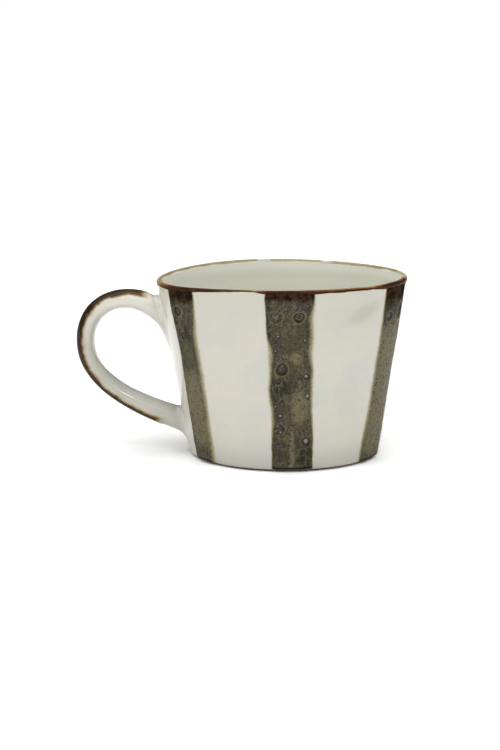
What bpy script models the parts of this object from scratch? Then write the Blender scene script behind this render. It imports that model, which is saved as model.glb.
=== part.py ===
"""A hand-made stoneware mug: a tapered cup on a trimmed foot ring, with a pulled strap handle.

Six raised ash-glaze stripes run down the wall, and iron glaze is brushed over the lip and along
the back of the handle. The mug stands on the XY plane, the handle points along -X, and the origin
is the centre of the overall footprint. Units are metres.
"""

import math
from typing import NamedTuple

import bmesh
import bpy
from mathutils import Vector

MM = 0.001

# Cup: overall sizes of the thrown shape.
CUP_HEIGHT = 64.8 * MM
RIM_RADIUS = 44.6 * MM
BASE_RADIUS = 34.7 * MM  # where the line of the wall would reach the table
CORNER_RADIUS = 1.4 * MM  # the turn from the wall to the underside
CORNER_LIFT = 0.7 * MM  # how far that turn stays above the table
LIP_RADIUS = 1.15 * MM
WALL_AT_BASE = 3.4 * MM
FLOOR_THICKNESS = 3.6 * MM
FLOOR_FILLET = 7.0 * MM

# Foot ring: trimmed, left bare, and the only part that touches the table.
FOOT_HEIGHT = 2.4 * MM
FOOT_WIDTH = 4.2 * MM
FOOT_CHAMFER = 0.5 * MM
FOOT_CLEARANCE = 0.3 * MM
SKIRT_WIDTH = 0.6 * MM  # flat between the corner's turn and the foot ring

# Hand-made waver of the lip: (waves round the rim, cosine part, sine part). It fades to the foot.
LIP_PUSH = (
    (1, -0.49 * MM, 0.0),
    (2, 0.68 * MM, -0.75 * MM),
    (3, -0.68 * MM, -0.23 * MM),
)
LIP_SWAY = (
    (1, 0.78 * MM, -0.08 * MM),
    (2, -0.43 * MM, -0.27 * MM),
    (3, 0.24 * MM, 0.0),
)
WAVER_FADE = 1.6

# Handle: the line of its middle, in the XZ plane, as two curves that meet at the outermost point.
HANDLE_REACH = 27.6 * MM  # from the rim's nominal radius out to the middle of the strap
HANDLE_OUTER_DROP = 23.6 * MM  # from the rim down to the outermost point
UPPER_ROOT_DROP = 16.9 * MM  # from the rim down to the middle of the upper root
UPPER_ROOT_RISE = math.radians(49)
UPPER_ROOT_PULL = 18.0 * MM
LOWER_ROOT_HEIGHT = 11.2 * MM
LOWER_ROOT_RISE = math.radians(18)
LOWER_ROOT_PULL = 22.6 * MM
OUTER_PULL_UP = 16.0 * MM
OUTER_PULL_DOWN = 14.8 * MM
ROOT_DEPTH = 1.0 * MM  # how far the curves start inside the wall's surface

# Handle: the strap's section, at its middle and at its two roots.
STRAP_HALF_THICKNESS = 3.0 * MM
UPPER_ROOT_HALF_THICKNESS = 4.5 * MM
LOWER_ROOT_HALF_THICKNESS = 4.3 * MM
STRAP_HALF_WIDTH = 5.6 * MM
UPPER_ROOT_HALF_WIDTH = 6.8 * MM
LOWER_ROOT_HALF_WIDTH = 6.2 * MM
ROOT_FLARE_SHARE = 0.3  # share of the strap's length over which a root swells
SECTION_POWER = 2.4  # superellipse: 2 is an ellipse, more is squarer
HANDLE_CLEARANCE = 0.3 * MM



class Root(NamedTuple):
    """One end of the strap, and how far its slip joint spreads above, below and beside it."""

    share: float  # where it lies along the strap: 0 at the upper end, 1 at the lower
    way: float  # the direction along the strap that leads away from the wall
    above: float
    below: float
    beside: float


# Slip joints: the clay fillets round the two roots of the handle.
UPPER_ROOT = Root(0.0, 1.0, above=3.4 * MM, below=7.5 * MM, beside=3.6 * MM)
LOWER_ROOT = Root(1.0, -1.0, above=2.2 * MM, below=3.6 * MM, beside=3.2 * MM)
SLIP_EDGE = 0.25 * MM
SLIP_CLEARANCE = 0.12 * MM
SLIP_LIFT = 2 * SLIP_CLEARANCE  # off the wall, whose facets lie a little inside its true round
SLIP_TO_GLAZE = 0.5 * MM

# Glaze: raised skins on the clay.
STRIPE_COUNT = 6
STRIPE_ANGLE = math.radians(23)
STRIPE_STEP = math.radians(59.6)  # the handle stands in the gap that is left, a little wider
FIRST_STRIPE = math.radians(-145.8)
STRIPE_THICKNESS = 0.5 * MM
STRIPE_START = math.radians(-55)  # where on the turn under the wall a stripe begins
STRIPE_TO_BAND = 0.3 * MM
BAND_THICKNESS = 0.35 * MM
BAND_OUTSIDE = 1.5 * MM  # how far the rim band reaches below the lip's turn, outside
BAND_INSIDE = 0.5 * MM  # and inside
GLAZE_CLEARANCE = 0.1 * MM
STREAK_START = 0.12  # share of the strap's length where the handle's iron streak begins
STREAK_END = 0.93
STREAK_HALF_ANGLE = math.radians(80)

# Fineness of the mesh.
SEGMENTS = 64
WALL_STEPS = 6
ARC_STEPS = 4
LIP_STEPS = 6
STRIPE_COLUMNS = 5
STRAP_STATIONS = 26
STRAP_SIDES = 16
SLIP_SIDES = 24
SLIP_STEPS = 4
SHARP_ANGLE = math.radians(40)
SEAM = 0.005 * MM  # points closer than this are one point
ROOT_SEARCH = 0.3  # share of the strap in which a root is looked for
SEARCH_STEP = 0.001
HALVINGS = 30


def wave(parts, angle):
    """The sum of the waves in parts at this angle round the rim."""
    return sum(c * math.cos(k * angle) + s * math.sin(k * angle) for k, c, s in parts)


def wall_lean():
    """The angle by which the wall leans out from upright."""
    return math.atan2(RIM_RADIUS - BASE_RADIUS, CUP_HEIGHT)


def wall_radius(z):
    """The nominal outer radius of the wall at height z."""
    return BASE_RADIUS + (RIM_RADIUS - BASE_RADIUS) * z / CUP_HEIGHT


def cup_centre_x():
    """The X of the cup's axis that puts the origin at the middle of the footprint."""
    handle_side = RIM_RADIUS + HANDLE_REACH + STRAP_HALF_THICKNESS
    far_side = RIM_RADIUS + wave(LIP_PUSH, 0.0)
    return (handle_side - far_side) / 2


def waver(angle, radius, z):
    """The nominal point (radius, z) at this angle, moved as the maker's hands left it."""
    share = max(0.0, min(1.0, z / CUP_HEIGHT)) ** WAVER_FADE
    radius += wave(LIP_PUSH, angle) * share
    z += wave(LIP_SWAY, angle) * share
    return Vector((cup_centre_x() + radius * math.cos(angle), radius * math.sin(angle), z))


def arc(centre, radius, start, end, steps):
    """Points (radius from the cup's axis, z) along an arc, both ends included."""
    angles = (start + (end - start) * i / steps for i in range(steps + 1))
    return [(centre[0] + radius * math.cos(a), centre[1] + radius * math.sin(a)) for a in angles]


def between(start, end, steps):
    """Evenly spaced points strictly between two points of a profile."""
    shares = (i / steps for i in range(1, steps))
    return [tuple(a + (b - a) * share for a, b in zip(start, end)) for share in shares]


def offset(profile, distance):
    """An open profile moved sideways to its right, which is outwards on the cup's outer line."""
    moved = []
    last = len(profile) - 1
    for i, (r, z) in enumerate(profile):
        before, after = profile[max(i - 1, 0)], profile[min(i + 1, last)]
        along = Vector((after[0] - before[0], after[1] - before[1])).normalized()
        moved.append((r + along.y * distance, z - along.x * distance))
    return moved


def corner_centre():
    """The middle of the turn between the wall and the underside."""
    z = CORNER_LIFT + CORNER_RADIUS
    return wall_radius(z) - CORNER_RADIUS / math.cos(wall_lean()), z


def lip_centre():
    """The middle of the lip's round."""
    z = CUP_HEIGHT - LIP_RADIUS
    return wall_radius(z) - LIP_RADIUS / math.cos(wall_lean()), z


def outer_line(turn_start):
    """The outside of the cup, from a point on the turn under the wall up to the lip's round."""
    turn = arc(corner_centre(), CORNER_RADIUS, turn_start, -wall_lean(), ARC_STEPS)
    top = lip_line()[0]
    return turn + between(turn[-1], top, WALL_STEPS) + [top]


def lip_line():
    """The round of the lip, from outside to inside."""
    return arc(lip_centre(), LIP_RADIUS, -wall_lean(), math.pi + wall_lean(), LIP_STEPS)


def inner_line():
    """The inside of the cup, from the lip's round down to the middle of the floor."""
    top = lip_line()[-1]
    floor = FOOT_HEIGHT + FLOOR_THICKNESS
    fillet_z = floor + FLOOR_FILLET
    fillet_r = wall_radius(floor) - WALL_AT_BASE - FLOOR_FILLET
    turn = arc((fillet_r, fillet_z), FLOOR_FILLET, 0.0, -math.pi / 2, ARC_STEPS)
    return between(top, turn[0], WALL_STEPS) + turn + [(0.0, floor)]


def skirt_inner_radius():
    """Where the flat under the wall ends and the foot ring's groove begins."""
    return corner_centre()[0] - SKIRT_WIDTH


def smooth(obj):
    """Rounds the shading of an object, apart from its real edges."""
    obj.data.shade_smooth()
    obj.data.set_sharp_from_angle(angle=SHARP_ANGLE)
    return obj


def material(name, colour, roughness):
    """A Principled material of one colour."""
    made = bpy.data.materials.new(name)
    made.use_nodes = True
    shader = made.node_tree.nodes["Principled BSDF"]
    shader.inputs["Base Color"].default_value = (*colour, 1.0)
    shader.inputs["Roughness"].default_value = roughness
    shader.inputs["Metallic"].default_value = 0.0
    return made


def add(name, shape, finish):
    """Turns a bmesh into a named, smoothly shaded object in the scene."""
    mesh = bpy.data.meshes.new(name)
    shape.to_mesh(mesh)
    shape.free()
    mesh.materials.append(finish)
    obj = bpy.data.objects.new(name, mesh)
    bpy.context.scene.collection.objects.link(obj)
    return smooth(obj)


def turned(profile, closed):
    """A profile spun a full turn round the cup's axis, then given the maker's waver."""
    shape = bmesh.new()
    points = [shape.verts.new((r, 0.0, z)) for r, z in profile]
    edges = [shape.edges.new(pair) for pair in zip(points, points[1:])]
    if closed:
        edges.append(shape.edges.new((points[-1], points[0])))
    bmesh.ops.spin(
        shape,
        geom=points + edges,
        axis=(0, 0, 1),
        cent=(0, 0, 0),
        steps=SEGMENTS,
        angle=math.tau,
    )
    bmesh.ops.remove_doubles(shape, verts=shape.verts, dist=SEAM)
    for vertex in shape.verts:
        angle = math.atan2(vertex.co.y, vertex.co.x)
        vertex.co = waver(angle, math.hypot(vertex.co.x, vertex.co.y), vertex.co.z)
    bmesh.ops.recalc_face_normals(shape, faces=shape.faces)
    return shape


def rows_of_quads(shape, rows, wrap_rows=False, wrap_ends=False):
    """Joins rows of points into quads. Each row may close on itself, and the last row on the first."""
    made = [[shape.verts.new(point) for point in row] for row in rows]
    if wrap_ends:
        made.append(made[0])
    for low, high in zip(made, made[1:]):
        count = len(low)
        for i in range(count if wrap_rows else count - 1):
            j = (i + 1) % count
            shape.faces.new((low[i], low[j], high[j], high[i]))
    return made


def skin(name, rows, thickness, finish, wrap_rows=False):
    """A raised glaze skin: a patch of the surface, grown outwards by its thickness."""
    shape = bmesh.new()
    rows_of_quads(shape, rows, wrap_rows=wrap_rows)
    obj = add(name, shape, finish)
    grown = obj.modifiers.new("thickness", "SOLIDIFY")
    grown.thickness = thickness
    grown.offset = 1.0
    return obj


# Handle geometry


def bezier(points, share):
    """A point on the cubic curve of four control points."""
    a, b, c, d = points
    rest = 1 - share
    return a * rest**3 + b * 3 * rest**2 * share + c * 3 * rest * share**2 + d * share**3


def strap_controls():
    """The control points of the strap's two curves, as (x, z) measured from the cup's axis."""
    top_height = CUP_HEIGHT - UPPER_ROOT_DROP
    top = Vector((ROOT_DEPTH - wall_radius(top_height), top_height))
    low = Vector((ROOT_DEPTH - wall_radius(LOWER_ROOT_HEIGHT), LOWER_ROOT_HEIGHT))
    outermost = Vector((-RIM_RADIUS - HANDLE_REACH, CUP_HEIGHT - HANDLE_OUTER_DROP))
    top_way = Vector((-math.cos(UPPER_ROOT_RISE), math.sin(UPPER_ROOT_RISE)))
    low_way = Vector((-math.cos(LOWER_ROOT_RISE), math.sin(LOWER_ROOT_RISE)))
    upper = (
        top,
        top + top_way * UPPER_ROOT_PULL,
        outermost + Vector((0.0, OUTER_PULL_UP)),
        outermost,
    )
    lower = (
        outermost,
        outermost - Vector((0.0, OUTER_PULL_DOWN)),
        low + low_way * LOWER_ROOT_PULL,
        low,
    )
    return upper, lower


def strap_middle(share):
    """The (x, z) of the strap's middle, where share runs from the upper root to the lower one."""
    upper, lower = strap_controls()
    if share <= 0.5:
        return bezier(upper, share * 2)
    return bezier(lower, share * 2 - 1)


def swollen(share, middle, top, low):
    """A size of the section that grows from its middle value towards each root."""
    towards_top = max(0.0, 1 - share / ROOT_FLARE_SHARE) ** 2
    towards_low = max(0.0, 1 - (1 - share) / ROOT_FLARE_SHARE) ** 2
    return middle + (top - middle) * towards_top + (low - middle) * towards_low


def strap_point(share, side, grow=0.0):
    """A point on the strap's surface. Side is an angle round the section, and 0 faces outwards."""
    ahead = strap_middle(min(share + SEARCH_STEP, 1.0))
    behind = strap_middle(max(share - SEARCH_STEP, 0.0))
    along = (ahead - behind).normalized()
    out = Vector((along.y, -along.x))
    half_thickness = swollen(
        share, STRAP_HALF_THICKNESS, UPPER_ROOT_HALF_THICKNESS, LOWER_ROOT_HALF_THICKNESS
    )
    half_width = swollen(share, STRAP_HALF_WIDTH, UPPER_ROOT_HALF_WIDTH, LOWER_ROOT_HALF_WIDTH)
    c, s = math.cos(side), math.sin(side)
    power = 2 / SECTION_POWER
    across = math.copysign(abs(c) ** power, c) * (half_thickness + grow)
    aside = math.copysign(abs(s) ** power, s) * (half_width + grow)
    middle = strap_middle(share) + out * across
    return Vector((cup_centre_x() + middle.x, aside, middle.y))


def height_off_wall(point):
    """How far a point lies outside the wavering wall, measured level from the cup's axis."""
    x, y = point.x - cup_centre_x(), point.y
    angle = math.atan2(y, x)
    surface = wall_point(angle, point.z)
    return math.hypot(x, y) - math.hypot(surface.x - cup_centre_x(), surface.y)


def wall_point(angle, height, lift=0.0):
    """The point of the outer wall at this angle and final height, moved out by lift."""
    share = max(0.0, min(1.0, height / CUP_HEIGHT)) ** WAVER_FADE
    nominal = height - wave(LIP_SWAY, angle) * share
    radius = wall_radius(nominal) + lift
    point = waver(angle, radius, nominal)
    return Vector((point.x, point.y, height))


def root_share(side, root, clearance, grow=0.0):
    """Where along the strap, near this root, its surface comes clear of the wall."""
    inside = root.share
    outside = root.share + root.way * ROOT_SEARCH
    for _ in range(HALVINGS):
        half = (inside + outside) / 2
        if height_off_wall(strap_point(half, side, grow)) < clearance:
            inside = half
        else:
            outside = half
    return outside


def around(count):
    """Evenly spaced angles round a section."""
    return [math.tau * i / count for i in range(count)]


def handle_shape():
    """The strap, ending just clear of the wall at both roots."""
    sides = around(STRAP_SIDES)
    starts = [root_share(side, UPPER_ROOT, HANDLE_CLEARANCE) for side in sides]
    ends = [root_share(side, LOWER_ROOT, HANDLE_CLEARANCE) for side in sides]
    shape = bmesh.new()
    rows = []
    for i in range(STRAP_STATIONS + 1):
        part = i / STRAP_STATIONS
        shares = [a + (b - a) * part for a, b in zip(starts, ends)]
        rows.append([strap_point(share, side) for share, side in zip(shares, sides)])
    made = rows_of_quads(shape, rows, wrap_rows=True)
    for ring, reaches in ((made[0], starts), (made[-1], ends)):
        middle = shape.verts.new(end_middle(reaches))
        for i, vertex in enumerate(ring):
            shape.faces.new((vertex, ring[(i + 1) % len(ring)], middle))
    bmesh.ops.recalc_face_normals(shape, faces=shape.faces)
    return shape


def end_middle(reaches):
    """The middle of an end of the strap, the same distance off the wall as its edge."""
    mean = sum(reaches) / len(reaches)
    x, z = strap_middle(mean)
    on_wall = wall_point(math.pi, z, HANDLE_CLEARANCE)
    return Vector((on_wall.x, 0.0, z))


def stripe_middle(number):
    """The angle of the middle of a stripe, counted from 0."""
    return FIRST_STRIPE + STRIPE_STEP * number


def handle_room():
    """The angle between the handle's middle line and the edge of the nearest stripe."""
    turns = (abs(math.pi - stripe_middle(i) % math.tau) for i in range(STRIPE_COUNT))
    return min(turns) - STRIPE_ANGLE / 2


def slip_spread(side, root):
    """How far a slip joint spreads on this side of its root."""
    vertical = math.cos(side) * root.way
    limit = root.above if vertical > 0 else root.below
    return root.beside + (limit - root.beside) * vertical**2


def along_strap(side, share, root, beyond=0.0):
    """The share of the strap at which its slip joint thins out, or this far beyond it."""
    start = strap_point(share, side, SLIP_CLEARANCE)
    spread = slip_spread(side, root) + beyond
    while (strap_point(share, side, SLIP_CLEARANCE) - start).length < spread:
        share += root.way * SEARCH_STEP
    return share


def along_wall(side, foot, root_height, root):
    """The angle and height on the wall at which a slip joint thins out, short of raised glaze."""
    angle = math.atan2(foot.y, foot.x - cup_centre_x()) % math.tau
    radius = wall_radius(foot.z)
    away = Vector(((angle - math.pi) * radius, foot.z - root_height)).normalized()
    away *= slip_spread(side, root)
    room = handle_room() - SLIP_TO_GLAZE / radius
    turn = angle - math.pi + away.x / radius
    ceiling = waver(angle, *band_line()[0]).z - SLIP_TO_GLAZE
    return math.pi + max(-room, min(room, turn)), min(ceiling, foot.z + away.y)


def clear_of_wall(point, clearance):
    """The point, pushed straight out from the cup's axis if it is closer to the wall than this."""
    short = max(0.0, clearance - height_off_wall(point))
    out = Vector((point.x - cup_centre_x(), point.y, 0.0)).normalized()
    return point + out * short


def slip_section(side, root):
    """One section of a slip joint: a closed loop over the strap, down the fillet and up the wall."""
    share = root_share(side, root, SLIP_LIFT, SLIP_CLEARANCE)
    foot = strap_point(share, side, SLIP_CLEARANCE)
    tip = along_strap(side, share, root)
    tip_out = strap_point(tip, side, SLIP_CLEARANCE + SLIP_EDGE)
    angle, height = along_wall(side, foot, strap_middle(share).y, root)
    toe_out = wall_point(angle, height, SLIP_LIFT + SLIP_EDGE)
    loop = [strap_point(tip, side, SLIP_CLEARANCE)]
    for i in range(SLIP_STEPS + 1):
        part = i / SLIP_STEPS
        rest = 1 - part
        point = tip_out * rest**2 + foot * 2 * rest * part + toe_out * part**2
        loop.append(clear_of_wall(point, SLIP_LIFT + SLIP_EDGE))
    toe = wall_point(angle, height, SLIP_LIFT)
    loop += [clear_of_wall(toe.lerp(foot, i / SLIP_STEPS), SLIP_LIFT) for i in range(SLIP_STEPS)]
    loop.append(foot)
    return loop


def slip_shape(root):
    """The clay fillet round one root of the handle."""
    shape = bmesh.new()
    sections = [slip_section(side, root) for side in around(SLIP_SIDES)]
    rows_of_quads(shape, sections, wrap_rows=True, wrap_ends=True)
    bmesh.ops.recalc_face_normals(shape, faces=shape.faces)
    return shape


def past_slip(share, root):
    """This share of the strap, or where the slip joint at the root is cleared if that is further."""
    sides = (STREAK_HALF_ANGLE * i / SLIP_STEPS for i in range(-SLIP_STEPS, SLIP_STEPS + 1))
    reaches = ((side, root_share(side, root, SLIP_LIFT, SLIP_CLEARANCE)) for side in sides)
    ends = [along_strap(side, reach, root, SLIP_TO_GLAZE) for side, reach in reaches]
    return max(share, *ends) if root.way > 0 else min(share, *ends)


def streak_rows():
    """The iron streak's patch along the back of the strap, clear of both slip joints."""
    columns = STRAP_SIDES // 2
    start, end = past_slip(STREAK_START, UPPER_ROOT), past_slip(STREAK_END, LOWER_ROOT)
    rows = []
    for i in range(STRAP_STATIONS + 1):
        share = start + (end - start) * i / STRAP_STATIONS
        sides = (STREAK_HALF_ANGLE * (2 * j / columns - 1) for j in range(columns + 1))
        rows.append([strap_point(share, side, GLAZE_CLEARANCE) for side in sides])
    return rows


# Cup, foot and glaze


def cup_profile():
    """The cup's whole outline, from the middle of its underside round to the middle of its floor."""
    return [
        (0.0, FOOT_HEIGHT),
        (skirt_inner_radius(), FOOT_HEIGHT),
        (skirt_inner_radius(), CORNER_LIFT),
        *outer_line(-math.pi / 2),
        *lip_line()[1:],
        *inner_line(),
    ]


def foot_profile():
    """The foot ring's closed section, clear of the cup above it and of the skirt round it."""
    outer = skirt_inner_radius() - FOOT_CLEARANCE
    inner = outer - FOOT_WIDTH
    top = FOOT_HEIGHT - FOOT_CLEARANCE
    return [
        (inner + FOOT_CHAMFER, 0.0),
        (outer - FOOT_CHAMFER, 0.0),
        (outer, FOOT_CHAMFER),
        (outer, top),
        (inner, top),
        (inner, FOOT_CHAMFER),
    ]


def stripe_rows(middle):
    """A stripe's patch, centred on this angle, from the turn under the wall up to the rim band."""
    line = outer_line(STRIPE_START)[:-1]
    rise = Vector(band_line()[0]) - Vector(line[-1])
    line.append(tuple(Vector(line[-1]) + rise * (1 - STRIPE_TO_BAND / rise.length)))
    columns = range(STRIPE_COLUMNS + 1)
    angles = [middle + STRIPE_ANGLE * (i / STRIPE_COLUMNS - 0.5) for i in columns]
    raised = offset(line, GLAZE_CLEARANCE)
    return [[waver(angle, radius, z) for angle in angles] for radius, z in raised]


def band_line():
    """The rim band's line: a little of the wall, the lip's round, and a little of the inside."""
    round_part = lip_line()
    lean = wall_lean()
    outside = Vector(round_part[0]) - Vector((math.sin(lean), math.cos(lean))) * BAND_OUTSIDE
    inside = Vector(round_part[-1]) - Vector((math.sin(lean), math.cos(lean))) * BAND_INSIDE
    return [tuple(outside), *round_part, tuple(inside)]


def band_rows():
    """The rim band's patch, all the way round."""
    angles = around(SEGMENTS)
    return [
        [waver(angle, radius, z) for angle in angles]
        for radius, z in offset(band_line(), GLAZE_CLEARANCE)
    ]


def clear_scene():
    """Removes whatever the scene holds."""
    for obj in list(bpy.data.objects):
        bpy.data.objects.remove(obj)


def build():
    """Makes every piece of the mug."""
    clear_scene()
    white_glaze = material("white_glaze", (0.80, 0.78, 0.72), 0.12)
    bare_clay = material("bare_clay", (0.62, 0.52, 0.42), 0.75)
    ash_glaze = material("ash_glaze", (0.13, 0.11, 0.07), 0.22)
    iron_glaze = material("iron_glaze", (0.14, 0.06, 0.02), 0.15)

    add("cup_body", turned(cup_profile(), closed=False), white_glaze)
    add("foot_ring", turned(foot_profile(), closed=True), bare_clay)
    add("handle", handle_shape(), white_glaze)
    add("upper_slip_joint", slip_shape(UPPER_ROOT), white_glaze)
    add("lower_slip_joint", slip_shape(LOWER_ROOT), white_glaze)
    for i in range(STRIPE_COUNT):
        skin(f"stripe_glaze_{i + 1}", stripe_rows(stripe_middle(i)), STRIPE_THICKNESS, ash_glaze)
    skin("rim_iron_band", band_rows(), BAND_THICKNESS, iron_glaze, wrap_rows=True)
    skin("handle_iron_streak", streak_rows(), BAND_THICKNESS, iron_glaze)


build()
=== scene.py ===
"""The looks of a hand-made stoneware mug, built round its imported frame.

The cup, its pulled handle and the joining clay wear a glossy cream-white glaze. Thick ash-glaze
stripes run down the wall, and iron glaze covers the lip and the back of the handle. Every surface is
worked out from one cup form and one strap form, so that what lies on another piece follows it.
Lengths are in millimetres until a mesh is made.
"""

from __future__ import annotations

import itertools
import logging
import math
from collections.abc import Mapping, Sequence
from dataclasses import dataclass, field
from enum import Enum, IntEnum

import bmesh
import bpy
import numpy as np
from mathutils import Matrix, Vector


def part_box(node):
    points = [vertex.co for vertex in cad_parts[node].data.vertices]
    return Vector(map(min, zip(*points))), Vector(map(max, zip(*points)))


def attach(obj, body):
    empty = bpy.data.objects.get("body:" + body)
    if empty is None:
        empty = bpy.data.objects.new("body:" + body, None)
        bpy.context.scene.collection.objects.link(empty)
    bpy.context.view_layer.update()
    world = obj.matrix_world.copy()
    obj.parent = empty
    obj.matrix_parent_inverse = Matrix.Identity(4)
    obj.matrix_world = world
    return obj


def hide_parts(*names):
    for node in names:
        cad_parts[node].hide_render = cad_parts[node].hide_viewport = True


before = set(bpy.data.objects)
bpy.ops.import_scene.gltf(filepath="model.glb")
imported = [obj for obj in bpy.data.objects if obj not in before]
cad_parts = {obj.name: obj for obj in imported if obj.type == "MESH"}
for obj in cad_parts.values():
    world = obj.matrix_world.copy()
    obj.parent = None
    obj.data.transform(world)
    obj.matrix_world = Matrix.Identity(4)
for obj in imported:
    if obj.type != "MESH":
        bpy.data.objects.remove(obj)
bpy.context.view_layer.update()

MM = 0.001
LOG = logging.getLogger("mug")
SHARP_ANGLE = math.radians(50)  # edges that turn by more than this are shown sharp
GLAZE_SUNK = 0.25  # how far the back of a thick glaze lies inside the clay
LEAST_LIFT = 0.015  # how thin a thick glaze runs out to
FLAT_STEP = 2.0  # the distance between points across the floor and the underside


# Plain helpers


def smoothstep(low: float, high: float, x: np.ndarray) -> np.ndarray:
    """Rises smoothly from 0 at low to 1 at high.

    Args:
        low: Where the rise starts.
        high: Where it ends. It may lie below low, for a fall.
        x: The values to look up.

    Returns:
        The height of the step at each value.
    """
    t = np.clip((x - low) / (high - low), 0.0, 1.0)
    return t * t * (3 - 2 * t)


def spread(*parts: np.ndarray | float) -> np.ndarray:
    """Stacks one array for each axis into points, stretching the smaller ones.

    Args:
        parts: The points' coordinates, one array or number for each axis.

    Returns:
        Points, with their coordinates on the last axis.
    """
    return np.stack(np.broadcast_arrays(*parts), axis=-1)


def wave(parts: Sequence[tuple[int, float, float]], angle: np.ndarray) -> np.ndarray:
    """Adds up waves round the cup.

    Args:
        parts: For each wave, how often it repeats in a turn, its cosine part and its sine part.
        angle: Angles round the cup.

    Returns:
        The sum at each angle.
    """
    return sum(c * np.cos(k * angle) + s * np.sin(k * angle) for k, c, s in parts)


class Seed(IntEnum):
    """Which waviness or scatter each use draws. A stripe adds its own number."""

    WALL = 3
    FOOT_DRAG = 5
    STRIPE_EDGE = 20
    SMALL_BLISTERS = 40
    STRIPE_SWELL = 60
    RIM_DROOP = 80
    RIM_DROOP_FINE = 81
    RIM_INNER_EDGE = 82
    STRAP = 90
    STRAP_FINE = 91
    STREAK_EDGE = 95
    STREAK_EDGE_FINE = 96
    STREAK_FRAY = 97
    STREAK_CLOUDS = 98
    PATCHES = 140


class Grain:
    """Smooth random waviness in space, the same on every run."""

    SIDE = 32

    def __init__(self, seed: int) -> None:
        """Draws the lattice.

        Args:
            seed: Which waviness it is.
        """
        self.lattice = np.random.default_rng(seed).uniform(-1, 1, (self.SIDE,) * 3)

    def at(self, points: np.ndarray, size: float) -> np.ndarray:
        """Looks the waviness up.

        Args:
            points: Places, as an array whose last axis is x, y, z.
            size: The length of one wave, in the points' units.

        Returns:
            A value between -1 and 1 for each place.
        """
        scaled = points / size
        cell = np.floor(scaled).astype(int)
        t = scaled - cell
        t = t * t * (3 - 2 * t)
        total = np.zeros(points.shape[:-1])
        for corner in itertools.product((0, 1), repeat=3):
            weight = np.prod(np.where(np.array(corner) == 1, t, 1 - t), axis=-1)
            index = (cell + np.array(corner)) % self.SIDE
            total += weight * self.lattice[index[..., 0], index[..., 1], index[..., 2]]
        return total


def uneven(points: np.ndarray, *layers: tuple[int, float, float]) -> np.ndarray:
    """Adds up wavinesses of several sizes.

    Args:
        points: Places, as an array whose last axis is x, y, z.
        layers: For each waviness, its seed, the length of one wave and how high it is.

    Returns:
        The height of the sum at each place.
    """
    return sum(Grain(seed).at(points, size) * height for seed, size, height in layers)


# The forms that every piece follows


def arc(centre: tuple[float, float], radius: float, start: float, end: float, step: float) -> np.ndarray:
    """Points along an arc.

    Args:
        centre: Its middle, as (radius, height).
        radius: Its radius.
        start: The angle of its first point.
        end: The angle of its last point.
        step: The largest distance between two points.

    Returns:
        An array of (radius, height).
    """
    count = max(2, math.ceil(abs(end - start) * radius / step))
    angles = np.linspace(start, end, count + 1)
    return np.stack([centre[0] + radius * np.cos(angles), centre[1] + radius * np.sin(angles)], axis=1)


def straight(start: Sequence[float], end: Sequence[float], step: float) -> np.ndarray:
    """Evenly spaced points strictly between two points.

    Args:
        start: The first point.
        end: The last point.
        step: The largest distance between two points.

    Returns:
        An array of the points in between.
    """
    start, end = np.array(start), np.array(end)
    count = max(2, math.ceil(np.linalg.norm(end - start) / step))
    share = np.linspace(0, 1, count + 1)[1:-1, None]
    return start + (end - start) * share


@dataclass(frozen=True)
class Dent:
    """A shallow finger mark in the wall."""

    angle: float = math.radians(-51)
    height: float = 55.7
    half_length: float = 7.1
    half_width: float = 3.0
    slope: float = math.radians(20)
    depth: float = 0.45


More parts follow.
